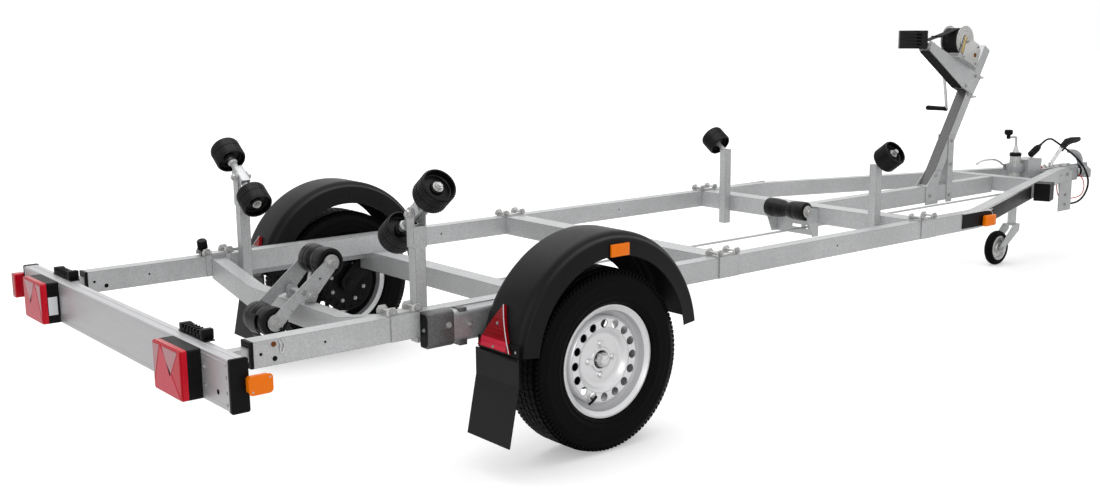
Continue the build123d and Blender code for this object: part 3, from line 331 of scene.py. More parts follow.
# %% Group: blotches and settled dust
dust_group, ends_in, ends_out = new_group("settled_dust", [("Scale", 6.0)], ["Tone", "Dust"])
where = dust_group.nodes.new("ShaderNodeTexCoord")
cloud = dust_group.nodes.new("ShaderNodeTexNoise")
cloud.inputs["Detail"].default_value = 5.0
facing = dust_group.nodes.new("ShaderNodeNewGeometry")
parts = dust_group.nodes.new("ShaderNodeSeparateXYZ")
dust_group.links.new(where.outputs["Object"], cloud.inputs["Vector"])
dust_group.links.new(ends_in.outputs["Scale"], cloud.inputs["Scale"])
dust_group.links.new(facing.outputs["Normal"], parts.inputs[0])
upward = add_math(dust_group, "MAXIMUM", parts.outputs["Z"], 0.0)
lying = add_math(dust_group, "MULTIPLY", upward, cloud.outputs["Fac"], clamp=True)
dust_group.links.new(cloud.outputs["Fac"], ends_out.inputs["Tone"])
dust_group.links.new(lying, ends_out.inputs["Dust"])
print("group", dust_group.name)

# %% [markdown]
# Hot-dip zinc freezes into flat crystals. Voronoi cells, each with its own tone, look like them, and
# fine flecks on top keep a large face from looking tiled.

# %% Group: zinc crystals
zinc_group, ends_in, ends_out = new_group("zinc_crystals", [("Cells", 90.0)], ["Tone", "Height"])
where = zinc_group.nodes.new("ShaderNodeTexCoord")
cells = zinc_group.nodes.new("ShaderNodeTexVoronoi")
shade = zinc_group.nodes.new("ShaderNodeSeparateColor")
fleck = zinc_group.nodes.new("ShaderNodeTexNoise")
fleck.inputs["Scale"].default_value = 700.0
zinc_group.links.new(where.outputs["Object"], cells.inputs["Vector"])
zinc_group.links.new(where.outputs["Object"], fleck.inputs["Vector"])
zinc_group.links.new(ends_in.outputs["Cells"], cells.inputs["Scale"])
zinc_group.links.new(cells.outputs["Color"], shade.inputs[0])
cell_tone = add_math(zinc_group, "MULTIPLY", shade.outputs[0], 0.55)
fleck_tone = add_math(zinc_group, "MULTIPLY", fleck.outputs["Fac"], 0.45)
zinc_group.links.new(add_math(zinc_group, "ADD", cell_tone, fleck_tone), ends_out.inputs["Tone"])
zinc_group.links.new(fleck.outputs["Fac"], ends_out.inputs["Height"])
print("group", zinc_group.name)

# %% [markdown]
# A finish is then put together from layers. `start_finish` makes the shader with its plain values,
# `tint` mixes two colours by a mask, and `bumps` turns a height into a bent normal.

# %% Building a finish
def start_finish(name, **plain):
    """A material and its Principled shader, with plain values on the named sockets."""
    finish = bpy.data.materials.new(name)
    finish.use_nodes = True
    shader = finish.node_tree.nodes["Principled BSDF"]
    for label, value in plain.items():
        socket = shader.inputs[label.replace("_", " ")]
        socket.default_value = (*value, 1.0) if isinstance(value, tuple) else value
    return finish, finish.node_tree, shader


def use_group(tree, group, **values):
    """Place a shared group in a finish with its own values."""
    node = tree.nodes.new("ShaderNodeGroup")
    node.node_tree = group
    for label, value in values.items():
        node.inputs[label].default_value = value
    return node


def tint(tree, mask, low, high):
    """Mix from one colour (or socket) to another by a mask."""
    mix = tree.nodes.new("ShaderNodeMix")
    mix.data_type = "RGBA"
    tree.links.new(mask, mix.inputs["Factor"])
    for label, value in (("A", low), ("B", high)):
        socket = [s for s in mix.inputs if s.name == label and s.type == "RGBA"][0]
        if isinstance(value, tuple):
            socket.default_value = (*value, 1.0)
        else:
            tree.links.new(value, socket)
    return [s for s in mix.outputs if s.type == "RGBA"][0]


def bumps(tree, shader, height, strength, distance=0.001):
    """Feed a height into the shader's normal."""
    bump = tree.nodes.new("ShaderNodeBump")
    bump.inputs["Strength"].default_value = strength
    bump.inputs["Distance"].default_value = distance
    tree.links.new(height, bump.inputs["Height"])
    tree.links.new(bump.outputs["Normal"], shader.inputs["Normal"])


print("layers ready")

# %% [markdown]
# The frame is hot-dip galvanised, small parts are plated more finely and castings are darker. A very
# dark zinc covers the boots of the side brackets, and as painted shade it darkens the rear of the
# leaning post, which lies in shadow. One recipe with other numbers makes all four, so that they look
# like the same metal treated in different ways.

# %% Zinc finishes
def zinc_finish(name, dark, light, cells, metal):
    """Hot-dip zinc: crystals in the tone, slow stains, and darker edges that are painted shade."""
    finish, tree, shader = start_finish(name, Metallic=metal)
    zinc = use_group(tree, zinc_group, Cells=cells)
    stain = use_group(tree, dust_group, Scale=3.0)
    edges = use_group(tree, edge_group, Width=0.0050, Contrast=6.0)
    base = tint(tree, zinc.outputs["Tone"], dark, light)
    patches = spread(tree, stain.outputs["Tone"], -0.35, 0.65)
    stained = tint(tree, patches, base, tuple(0.72 * v for v in dark))
    # Darker edges: a painted shade along every edge of the zinc.
    edge_wear_and_light_tone = tint(tree, edges.outputs["Mask"], stained, tuple(0.45 * v for v in dark))
    tree.links.new(edge_wear_and_light_tone, shader.inputs["Base Color"])
    tree.links.new(spread(tree, zinc.outputs["Tone"], 0.34, 0.52), shader.inputs["Roughness"])
    bumps(tree, shader, zinc.outputs["Height"], 0.08)
    return finish


galvanised = zinc_finish("galvanised", (0.42, 0.425, 0.43), (0.63, 0.635, 0.64), 190.0, 0.5)
zinc_plated = zinc_finish("zinc_plated", (0.50, 0.50, 0.49), (0.70, 0.70, 0.69), 320.0, 0.8)
cast_zinc = zinc_finish("cast_zinc", (0.30, 0.31, 0.32), (0.46, 0.47, 0.48), 160.0, 0.55)
# A very dark zinc: the boots' own colour, and painted shade on the post's rear face.
dark_zinc_and_painted_shade = zinc_finish("dark_zinc_and_painted_shade", (0.055, 0.055, 0.055), (0.17, 0.17, 0.17), 300.0, 0.3)
print("zinc finishes", [m.name for m in (galvanised, zinc_plated, cast_zinc, dark_zinc_and_painted_shade)])

# %% [markdown]
# Drawn aluminium and turned steel show fine lines along one direction. One noise does for all of
# them: a Mapping node stretches it, and `along` says how tightly the lines lie on each axis. Edges
# are a little brighter than the face, as rubbed metal and a painted highlight, while on the silver
# wheel they are much darker, a painted shade in its grooves and rings.

# %% Brushed metals
def brushed_finish(name, dark, light, metal, rough, along, rim=1.2, rim_width=0.001):
    """Drawn or brushed metal: noise stretched along one direction, and edges made lighter as rubbed metal and
    a painted highlight, or darker as painted shade.
    """
    finish, tree, shader = start_finish(name, Metallic=metal)
    where = tree.nodes.new("ShaderNodeTexCoord")
    stretch = tree.nodes.new("ShaderNodeMapping")
    stretch.inputs["Scale"].default_value = along
    lines = tree.nodes.new("ShaderNodeTexNoise")
    lines.inputs["Scale"].default_value = 1.0
    lines.inputs["Detail"].default_value = 6.0
    tree.links.new(where.outputs["Object"], stretch.inputs["Vector"])
    tree.links.new(stretch.outputs[0], lines.inputs["Vector"])
    edges = use_group(tree, edge_group, Width=rim_width, Contrast=6.0)
    base = tint(tree, lines.outputs["Fac"], dark, light)
    # The edges' colour, set by `rim`: lighter is rubbed metal with a painted highlight, darker is painted
    # shade.
    edge_wear_and_light_tone = tint(tree, edges.outputs["Mask"], base, tuple(min(1.0, rim * v) for v in light))
    tree.links.new(edge_wear_and_light_tone, shader.inputs["Base Color"])
    tree.links.new(spread(tree, lines.outputs["Fac"], rough - 0.06, rough + 0.08), shader.inputs["Roughness"])
    bumps(tree, shader, lines.outputs["Fac"], 0.06)
    return finish


aluminium = brushed_finish("aluminium", (0.46, 0.46, 0.47), (0.60, 0.60, 0.61), 0.55, 0.40, (260, 6, 260))
polished_steel = brushed_finish(
    "polished_steel", (0.55, 0.55, 0.55), (0.78, 0.78, 0.78), 0.9, 0.26, (120, 120, 30)
)
# Edges of the wheel at a quarter of its light tone: painted shade in its grooves and rings.
wheel_silver = brushed_finish(
    "wheel_silver", (0.68, 0.68, 0.69), (0.80, 0.80, 0.81), 0.5, 0.30, (300, 300, 300), 0.25, 0.004
)
yellow_zinc = brushed_finish(
    "yellow_zinc", (0.42, 0.31, 0.12), (0.62, 0.47, 0.20), 0.7, 0.38, (200, 200, 200)
)
print("brushed finishes", [m.name for m in (aluminium, polished_steel, wheel_silver, yellow_zinc)])

# %% [markdown]
# Black isn't one colour. A tyre, a fender and a cable differ by gloss and grain more than by tone, so
# one recipe takes a tone, a roughness, a grain and a shine for each. Dust is left off most of them,
# because even a little of it turns a new black grey.

# %% Plastics and rubber
def plastic_finish(name, colour, worn_colour, rough, grain_scale, grain_strength, dusty=0.12, shine=0.10):
    """Moulded plastic or rubber: fine grain, dull edges and a little dust on top."""
    finish, tree, shader = start_finish(name, Specular_IOR_Level=shine)
    grain = use_group(tree, grain_group, Scale=grain_scale, Detail=3.0)
    dust = use_group(tree, dust_group, Scale=14.0)
    edges = use_group(tree, edge_group, Width=0.0012, Contrast=3.0)
    soft = tuple(v * 0.7 for v in colour)
    base = tint(tree, dust.outputs["Tone"], soft, tuple(min(1.0, v * 1.35) for v in colour))
    dusted = tint(tree, add_math(tree, "MULTIPLY", dust.outputs["Dust"], dusty), base, (0.30, 0.29, 0.27))
    edge_wear_and_light_tone = tint(tree, add_math(tree, "MULTIPLY", edges.outputs["Mask"], 0.5), dusted, worn_colour)
    tree.links.new(edge_wear_and_light_tone, shader.inputs["Base Color"])
    tree.links.new(spread(tree, dust.outputs["Tone"], rough - 0.08, rough + 0.1), shader.inputs["Roughness"])
    bumps(tree, shader, grain.outputs["Height"], grain_strength)
    return finish


black_plastic = plastic_finish(
    "black_plastic", (0.004, 0.004, 0.0045), (0.03, 0.03, 0.03), 0.40, 600.0, 0.12, 0.0
)
black_moulding = plastic_finish(
    "black_moulding", (0.0065, 0.0065, 0.007), (0.02, 0.02, 0.02), 0.40, 900.0, 0.20, 0.0, 0.12
)
roller_rubber = plastic_finish(
    "roller_rubber", (0.002, 0.002, 0.0022), (0.02, 0.02, 0.02), 0.32, 500.0, 0.15, 0.0, 0.2
)
tyre_rubber = plastic_finish(
    "tyre_rubber", (0.0025, 0.0025, 0.0025), (0.009, 0.009, 0.009), 0.50, 350.0, 0.20, 0.0, 0.05
)
flap_rubber = plastic_finish(
    "flap_rubber", (0.010, 0.010, 0.0105), (0.04, 0.04, 0.04), 0.44, 700.0, 0.20, 0.0, 0.14
)
cable_black = plastic_finish("cable_black", (0.006, 0.006, 0.006), (0.03, 0.03, 0.03), 0.40, 900.0, 0.05)
cable_red = plastic_finish("cable_red", (0.55, 0.010, 0.012), (0.6, 0.2, 0.2), 0.35, 900.0, 0.04, 0.02)
print("finishes so far", len(bpy.data.materials))

# %% [markdown]
# A lamp lens is a coloured shell with small prisms moulded inside. True refraction through a thin
# shell takes long and is noisy, so the prisms are a relief under a glossy skin here, with a deeper
# tone between them.

# %% Lenses
def lens_finish(name, colour, deep, pitch):
    """Moulded lamp lens: a prism pattern in the relief under a glossy skin."""
    finish, tree, shader = start_finish(
        name, Roughness=0.14, Coat_Roughness=0.05, IOR=1.49, Specular_IOR_Level=0.16
    )
    shader.inputs["Coat Weight"].default_value = 0.08
    where = tree.nodes.new("ShaderNodeTexCoord")
    prisms = tree.nodes.new("ShaderNodeTexVoronoi")
    prisms.inputs["Scale"].default_value = pitch
    prisms.inputs["Randomness"].default_value = 0.0
    tree.links.new(where.outputs["Object"], prisms.inputs["Vector"])
    tone = add_math(tree, "MULTIPLY", prisms.outputs["Distance"], 1.2, clamp=True)
    tree.links.new(tint(tree, tone, colour, deep), shader.inputs["Base Color"])
    bumps(tree, shader, prisms.outputs["Distance"], 0.35, 0.002)
    return finish


red_lens = lens_finish("red_lens", (0.74, 0.005, 0.026), (0.36, 0.001, 0.007), 170.0)
orange_lens = lens_finish("orange_lens", (1.0, 0.26, 0.0005), (0.80, 0.14, 0.0002), 170.0)
deep_red = lens_finish("deep_red_reflector", (0.40, 0.002, 0.008), (0.12, 0.0003, 0.0015), 260.0)
clear_lens = lens_finish("clear_lens", (0.80, 0.81, 0.82), (0.55, 0.56, 0.58), 220.0)
print("finishes", len(bpy.data.materials))

# %% [markdown]
# The winch strap is woven polyester. Threads could be modelled, but each is under a millimetre here,
# so two crossed bands of waves stand for warp and weft, in the colour and in the relief.

# %% Woven webbing
webbing, tree, shader = start_finish("webbing", Roughness=0.7, Sheen_Weight=0.05, Specular_IOR_Level=0.15)
where = tree.nodes.new("ShaderNodeTexCoord")
warp = tree.nodes.new("ShaderNodeTexWave")
weft = tree.nodes.new("ShaderNodeTexWave")
warp.bands_direction = "Y"
weft.bands_direction = "X"
for wave in (warp, weft):
    wave.inputs["Scale"].default_value = 260.0
    tree.links.new(where.outputs["Object"], wave.inputs["Vector"])
weave = add_math(tree, "MULTIPLY", warp.outputs["Fac"], weft.outputs["Fac"])
tree.links.new(tint(tree, weave, (0.003, 0.003, 0.0035), (0.014, 0.014, 0.016)), shader.inputs["Base Color"])
bumps(tree, shader, weave, 0.5)
print("webbing woven")

# %% [markdown]
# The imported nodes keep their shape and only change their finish. Each node already carries the
# name of its material slot in the record, so one table from slot to finish dresses them all, and a
# second, shorter one names the few nodes that look unlike the rest of their slot.

# %% Dress the CAD nodes
finish_of_slot = {
    "galvanised": galvanised,
    "cast_housing": cast_zinc,
    "aluminium": aluminium,
    "black_plastic": black_plastic,
    "black_moulding": black_moulding,
    "rubber": roller_rubber,
    "tyre": tyre_rubber,
    "silver_rim": wheel_silver,
    "red_lens": red_lens,
    "orange_lens": orange_lens,
    "webbing": webbing,
    "cable_black": cable_black,
    "cable_red": cable_red,
}
finish_of_node = {
    "mudflaps": flap_rubber,
    "fender_reflectors": deep_red,
    "axle_brackets": cast_zinc,
}


def dress(node, finish):
    """Give every face of a CAD node one finish, through its material slots."""
    piece = frame["nodes"][node]
    if not piece.material_slots:
        piece.data.materials.append(finish)
    for slot in piece.material_slots:
        slot.material = finish


for part in frame["record"]["subparts"]:
    dress(part["node"], finish_of_node.get(part["node"], finish_of_slot[part["material_slot"]]))

# %% [markdown]
# ## Shapes
#
# New pieces are drawn in a bmesh with a few workshop operations that all take millimetres of the
# drawing. The first two are a block with rounded edges and a plate cut from an outline. A mirrored
# block serves pieces that the trailer has on both sides.

# %% Blocks and plates
crosswise = (0, 1, 0)
upright = (0, 0, 1)


def round_edges(bm, edges, width):
    """Round the given edges, with two narrow faces along each."""
    bmesh.ops.bevel(bm, geom=edges, offset=width / 1000, segments=2, profile=0.5, affect="EDGES")


def block(bm, low, high, edge=0.0):
    """A block between two corners, its edges rounded."""
    size = [(b - a) / 1000 for a, b in zip(low, high)]
    middle = at(*[(a + b) / 2 for a, b in zip(low, high)])
    made = bmesh.ops.create_cube(bm, size=1.0)["verts"]
    bmesh.ops.transform(bm, matrix=Matrix.Translation(middle) @ Matrix.Diagonal((*size, 1.0)), verts=made)
    if edge:
        round_edges(bm, list(dict.fromkeys(e for v in made for e in v.link_edges)), edge)


def side_block(bm, side, low, high, edge=0.0):
    """A block given for the left side (side 1), or its mirror image on the right (side -1)."""
    low_y, high_y = sorted((side * low[1], side * high[1]))
    block(bm, (low[0], low_y, low[2]), (high[0], high_y, high[2]), edge)


def plate(bm, outline, start, end, plane="XZ", edge=0.0):
    """A plate cut from an outline in one plane, reaching from start to end along the third axis."""
    order = {"XZ": (0, 2, 1), "XY": (0, 1, 2), "YZ": (1, 2, 0)}[plane]
    rings = []
    for level in (start, end):
        ring = []
        for point in outline:
            spot = [0, 0, 0]
            spot[order[0]], spot[order[1]], spot[order[2]] = point[0], point[1], level
            ring.append(bm.verts.new(at(*spot)))
        rings.append(ring)
    faces = [bm.faces.new(rings[0]), bm.faces.new(list(reversed(rings[1])))]
    count = len(outline)
    for i in range(count):
        j = (i + 1) % count
        faces.append(bm.faces.new((rings[0][j], rings[0][i], rings[1][i], rings[1][j])))
    if edge:
        round_edges(bm, list(dict.fromkeys(e for f in faces for e in f.edges)), edge)


print("blocks and plates ready")

# %% [markdown]
# Anything round comes from a lathe outline of (radius, place along the axis). Spin could do it as
# well, but rings of our own close exactly, and the faces at the axis become clean triangles.

# %% Turned shapes
def turned(bm, outline, centre, axis=crosswise, steps=40):
    """A shape turned on a lathe: outline holds (radius, place along the axis). It closes on itself,
    or on the axis where its ends have no radius."""
    spin = Vector(axis).to_track_quat("Z", "Y").to_matrix()
    middle = at(*centre)
    closed = outline[0][0] > 0
    rings = []
    for i in range(steps):
        angle = 2 * math.pi * i / steps
        ring = []
        for radius, along in outline:
            local = Vector((radius * math.cos(angle), radius * math.sin(angle), along)) / 1000
            ring.append(bm.verts.new(middle + spin @ local))
        rings.append(ring)
    last = len(outline) if closed else len(outline) - 1
    for i in range(steps):
        a, b = rings[i], rings[(i + 1) % steps]
        for j in range(last):
            k = (j + 1) % len(outline)
            corners = [a[j], b[j], b[k], a[k]]
            if outline[j][0] == 0:
                corners = [a[j], b[k], a[k]]
            elif outline[k][0] == 0:
                corners = [a[j], b[j], a[k]]
            bm.faces.new(corners)


def both_halves(half):
    """A lathe outline and its mirror image about the middle of the axis."""
    return half + [(radius, -along) for radius, along in reversed(half)]


print("lathe ready")

# %% [markdown]
# Bent rods start as a curve with a round bevel, as the cords do, and are then read back as a mesh,
# so that several rods and plates can share one piece.

# %% Bent rods
def rod(bm, route, radius, smooth=True):
    """A round rod along points of the drawing, bent smoothly or with sharp corners."""
    curve = bpy.data.curves.new("rod", "CURVE")
    curve.dimensions = "3D"
    curve.bevel_depth = radius / 1000
    curve.bevel_resolution = 3
    curve.resolution_u = 6
    curve.use_fill_caps = True
    spline = curve.splines.new("NURBS" if smooth else "POLY")
    spline.points.add(len(route) - 1)
    for point, spot in zip(spline.points, route):
        point.co = (*at(*spot), 1.0)
    if smooth:
        spline.order_u = 3
        spline.use_endpoint_u = True
    carrier = bpy.data.objects.new("rod", curve)
    mesh = bpy.data.meshes.new_from_object(carrier)
    bm.from_mesh(mesh)
    bpy.data.objects.remove(carrier)
    bpy.data.curves.remove(curve)
    bpy.data.meshes.remove(mesh)


print("rods ready")

# %% [markdown]
# `add_piece` closes a mesh and points its faces outwards, and `settle` gives it a finish, smooth
# faces with sharp edges, and its body. The order matters: doubles are merged before the normals are
# worked out, or a shell could turn inside out.

# %% Finished pieces
def add_piece(name, bm, finish, body, angle=35.0, replaced=()):
    """Close a bmesh, make it an object and let it ride on its body."""
    bmesh.ops.remove_doubles(bm, verts=bm.verts, dist=1e-6)
    bmesh.ops.recalc_face_normals(bm, faces=bm.faces)
    mesh = bpy.data.meshes.new(name)
    bm.to_mesh(mesh)
    bm.free()
    return settle(name, mesh, finish, body, angle, replaced)


def settle(name, mesh, finish, body, angle=35.0, replaced=()):
    """Make a plain mesh a finished piece."""
    mesh.materials.clear()
    mesh.materials.append(finish)
    for face in mesh.polygons:
        face.material_index = 0
    mesh.shade_smooth()
    mesh.set_sharp_from_angle(angle=math.radians(angle))
    piece = bpy.data.objects.new(name, mesh)
    bpy.context.collection.objects.link(piece)
    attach(piece, body)
    if replaced:
        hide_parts(*replaced)
    print(name, len(mesh.polygons), "faces on", body)
    return piece


print("ready for pieces")

# %% [markdown]
# The plug of the lighting cable is a moulded seven-pin one: a ribbed body, a collar and a rubber
# strain relief that tapers onto the cable. It lies in the bracket behind the coupling, tipped up
# at its cable end. A lathe outline gives all of it in one piece.

# %% Plug and clip of the cords
plug_lean = math.radians(26)
plug_axis = (math.cos(plug_lean), 0, math.sin(plug_lean))
bm = bmesh.new()
plug_place = (4262, 0, 651)
plug_outline = [
    (0, -64), (17, -64), (19.5, -61), (19.5, -40), (16, -38), (16, -34), (20, -32), (20, -24),
    (18, -22), (18, -18), (20, -16), (20, -8), (18, -6), (18, -2), (20, 0), (20, 8), (18, 10),
    (17, 26), (12, 36), (9.5, 40), (9.5, 44), (8.5, 46), (8.5, 50), (7.6, 52), (7.6, 58), (0, 63),
]
turned(bm, plug_outline, plug_place, plug_axis, 28)
plug = add_piece("lighting_plug", bm, black_plastic, "chassis", replaced=("light_cable",))

bm = bmesh.new()
clip_points = [
    (4668, -60, 470), (4658, -64, 484), (4650, -64, 502), (4658, -64, 512), (4668, -63, 504),
    (4668, -61, 480),
]
rod(bm, clip_points, 2.2)
clip = add_piece("safety_clip", bm, polished_steel, "chassis")

# %% [markdown]
# Now that the finishes exist, the cords get theirs, ride on the frame and take the place of the
# plain tubes of the drawing.

# %% The cords take their places
lighting_cable.data.materials.append(cable_black)
safety_cord.data.materials.append(cable_red)
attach(lighting_cable, "chassis")
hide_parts("light_cable")
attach(safety_cord, "chassis")
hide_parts("breakaway_cable")
print("cords ride on the chassis")

# %% [markdown]
# ## What repeats
#
# Bolts, tread blocks, roller ribs and rows of slots are the same small thing many times over.
# Geometry Nodes suit them: a tree is built once, its sizes are named inputs, and each use gives
# other numbers. The tree's result is read back as a plain mesh, so no modifier stays behind.

# %% Helpers for geometry trees
def new_tree(name, **numbers):
    """An empty geometry tree with named inputs; returns it with its two end nodes."""
    tree = bpy.data.node_groups.new(name, "GeometryNodeTree")
    tree.interface.new_socket("Points", in_out="INPUT", socket_type="NodeSocketGeometry")
    for label, value in numbers.items():
        kind = {int: "Int", float: "Float", tuple: "Vector"}[type(value)]
        socket = tree.interface.new_socket(label, in_out="INPUT", socket_type="NodeSocket" + kind)
        socket.default_value = value
    tree.interface.new_socket("Finish", in_out="INPUT", socket_type="NodeSocketMaterial")
    tree.interface.new_socket("Geometry", in_out="OUTPUT", socket_type="NodeSocketGeometry")
    return tree, tree.nodes.new("NodeGroupInput"), tree.nodes.new("NodeGroupOutput")


def step(tree, kind, inputs, **settings):
    """One node of a geometry tree; its inputs are plain values or other nodes' outputs."""
    node = tree.nodes.new(kind)
    for label, value in settings.items():
        setattr(node, label, value)
    for key, value in inputs.items():
        if isinstance(value, bpy.types.NodeSocket):
            tree.links.new(value, node.inputs[key])
        else:
            node.inputs[key].default_value = value
    return node.outputs[0]


def end_tree(tree, given, ends, instances):
    """Realize the instances, set the finish and close the tree."""
    real = step(tree, "GeometryNodeRealizeInstances", {"Geometry": instances})
    painted = step(tree, "GeometryNodeSetMaterial", {"Geometry": real, "Material": given.outputs["Finish"]})
    tree.links.new(painted, ends.inputs["Geometry"])


def grow(tree, finish, points=(), **values):
    """Run a tree once and return its plain mesh. Points hold (place in mm, facing, size in mm)."""
    mesh = bpy.data.meshes.new("points")
    mesh.from_pydata([at(*spot) for spot, facing, size in points], [], [])
    mesh.attributes.new("facing", "FLOAT_VECTOR", "POINT")
    mesh.attributes.new("size", "FLOAT", "POINT")
    for i, (spot, facing, size) in enumerate(points):
        mesh.attributes["facing"].data[i].vector = facing
        mesh.attributes["size"].data[i].value = size / 1000
    carrier = bpy.data.objects.new("carrier", mesh)
    bpy.context.collection.objects.link(carrier)
    modifier = carrier.modifiers.new("tree", "NODES")
    modifier.node_group = tree
    for item in tree.interface.items_tree:
        if item.in_out == "INPUT" and item.name in values:
            modifier[item.identifier] = values[item.name]
        elif item.name == "Finish":
            modifier[item.identifier] = finish
    seen = carrier.evaluated_get(bpy.context.evaluated_depsgraph_get())
    made = bpy.data.meshes.new_from_object(seen)
    bpy.data.objects.remove(carrier)
    bpy.data.meshes.remove(mesh)
    return made


print("trees can grow")

# %% [markdown]
# A bolt is a low cylinder with six sides on a washer, with a stud end in its middle. More sides make
# a round head, so screws, rivets and nuts come from the same tree. Each point carries its facing and
# its size, which saves a loop of copied objects.

# %% Tree: bolts
bolt_tree, given, ends = new_tree("bolts", Sides=6, Head=0.7, Washer=0.22, Collar=1.35, Stud=0.35, Bore=0.5)
sizes = given.outputs


def disc(sides, radius, depth, base):
    """A cylinder standing on a base height inside the bolt tree."""
    body = step(bolt_tree, "GeometryNodeMeshCylinder", {"Vertices": sides, "Radius": radius, "Depth": depth})
    half = step(bolt_tree, "ShaderNodeMath", {0: depth, 1: 0.5}, operation="MULTIPLY")
    level = step(bolt_tree, "ShaderNodeMath", {0: half, 1: base}, operation="ADD")
    lift = step(bolt_tree, "ShaderNodeCombineXYZ", {"Z": level})
    return step(bolt_tree, "GeometryNodeTransform", {"Geometry": body, "Translation": lift})


head_top = step(bolt_tree, "ShaderNodeMath", {0: sizes["Washer"], 1: sizes["Head"]}, operation="ADD")
one_bolt = bolt_tree.nodes.new("GeometryNodeJoinGeometry")
bolt_tree.links.new(disc(20, sizes["Collar"], sizes["Washer"], 0.0), one_bolt.inputs[0])
bolt_tree.links.new(disc(sizes["Sides"], 1.0, sizes["Head"], sizes["Washer"]), one_bolt.inputs[0])
bolt_tree.links.new(disc(12, sizes["Bore"], sizes["Stud"], head_top), one_bolt.inputs[0])
facing = step(bolt_tree, "GeometryNodeInputNamedAttribute", {"Name": "facing"}, data_type="FLOAT_VECTOR")
turn = step(bolt_tree, "FunctionNodeAlignRotationToVector", {"Vector": facing}, axis="Z")
size = step(bolt_tree, "GeometryNodeInputNamedAttribute", {"Name": "size"}, data_type="FLOAT")
placed = step(
    bolt_tree, "GeometryNodeInstanceOnPoints",
    {"Points": given.outputs["Points"], "Instance": one_bolt.outputs[0], "Rotation": turn, "Scale": size},
)
end_tree(bolt_tree, given, ends, placed)
print("tree", bolt_tree.name, len(bolt_tree.nodes), "nodes")

# %% [markdown]
# Tread blocks and ribs are small blocks round an axis. An array modifier needs an empty to turn by,
# while this tree only needs a count: the index of each point gives its angle. Skew turns each block
# about its own radius, as tread blocks are.

# %% Tree: blocks on a ring
ring_tree, given, ends = new_tree(
    "blocks_on_a_ring", Count=60, Radius=0.3, Along=0.0, Size=(0.01, 0.02, 0.02), Skew=0.0, Phase=0.0
)
sizes = given.outputs
index = step(ring_tree, "GeometryNodeInputIndex", {})
share = step(ring_tree, "ShaderNodeMath", {0: index, 1: sizes["Count"]}, operation="DIVIDE")
moved = step(ring_tree, "ShaderNodeMath", {0: share, 1: sizes["Phase"]}, operation="ADD")
angle = step(ring_tree, "ShaderNodeMath", {0: moved, 1: 2 * math.pi}, operation="MULTIPLY")
across = step(ring_tree, "ShaderNodeMath", {0: angle}, operation="COSINE")
up = step(ring_tree, "ShaderNodeMath", {0: angle}, operation="SINE")
unit = step(ring_tree, "ShaderNodeCombineXYZ", {"X": across, "Y": up})
out = step(ring_tree, "ShaderNodeVectorMath", {0: unit, "Scale": sizes["Radius"]}, operation="SCALE")
rise = step(ring_tree, "ShaderNodeCombineXYZ", {"Z": sizes["Along"]})
spot = step(ring_tree, "ShaderNodeVectorMath", {0: out, 1: rise}, operation="ADD")
dots = step(ring_tree, "GeometryNodePoints", {"Count": sizes["Count"], "Position": spot})
turn = step(ring_tree, "ShaderNodeCombineXYZ", {"X": sizes["Skew"], "Z": angle})
cube = step(ring_tree, "GeometryNodeMeshCube", {"Size": sizes["Size"]})
placed = step(
    ring_tree, "GeometryNodeInstanceOnPoints", {"Points": dots, "Instance": cube, "Rotation": turn}
)
end_tree(ring_tree, given, ends, placed)
print("tree", ring_tree.name, len(ring_tree.nodes), "nodes")

# %% [markdown]
# The same block repeated along a straight step serves for ribs and fins.

# %% Tree: blocks in a row
row_tree, given, ends = new_tree("blocks_in_a_row", Count=8, Step=(0.01, 0.0, 0.0), Size=(0.004, 0.02, 0.002))
sizes = given.outputs
index = step(row_tree, "GeometryNodeInputIndex", {})
spot = step(row_tree, "ShaderNodeVectorMath", {0: sizes["Step"], "Scale": index}, operation="SCALE")
dots = step(row_tree, "GeometryNodePoints", {"Count": sizes["Count"], "Position": spot})
cube = step(row_tree, "GeometryNodeMeshCube", {"Size": sizes["Size"]})
placed = step(row_tree, "GeometryNodeInstanceOnPoints", {"Points": dots, "Instance": cube})
end_tree(row_tree, given, ends, placed)
print("tree", row_tree.name, len(row_tree.nodes), "nodes")


# %% [markdown]
# Four short functions hide the trees from here on. Two add blocks to a mesh that is being drawn,
# one makes bolts a piece, and one mirrors the places of bolts.

# %% Using the trees
def ring(bm, centre, axis, count, radius, along, size, skew=0.0, phase=0.0):
    """Add blocks on a ring to a mesh: size is (height, length around, width along the axis)."""
    made = grow(
        ring_tree, None, Count=count, Radius=radius / 1000, Along=along / 1000, Size=[v / 1000 for v in size],
        Skew=skew, Phase=phase,
    )
    spin = Vector(axis).to_track_quat("Z", "Y").to_matrix().to_4x4()
    made.transform(Matrix.Translation(at(*centre)) @ spin)
    bm.from_mesh(made)
    bpy.data.meshes.remove(made)


def row(bm, start, count, pitch, size):
    """Add blocks in a row to a mesh, the first with its middle at the start."""
    made = grow(row_tree, None, Count=count, Step=[v / 1000 for v in pitch], Size=[v / 1000 for v in size])
    made.transform(Matrix.Translation(at(*start)))
    bm.from_mesh(made)
    bpy.data.meshes.remove(made)


def bolts(name, points, finish, body, slot="galvanised", **values):
    """A set of bolts, screws or rivets as one piece on one body."""
    return settle(name, grow(bolt_tree, finish, points, **values), finish, body, 30.0)


def mirror_points(points):
    """The same bolt places on the other side of the trailer."""
    return [((x, -y, z), (fx, -fy, fz), size) for (x, y, z), (fx, fy, fz), size in points]


print("bolts, rings and rows ready")

# %% [markdown]
# ## Road wheels
#
# A car tyre is a lathe shape with a tread cut into it. The carcass is turned from one outline, with
# a rim guard and two mould rings on each wall, and the tread is laid on as blocks on a ring: five
# rows on the crown, and on each shoulder a row of wide blocks with a row of fine lugs beside it.

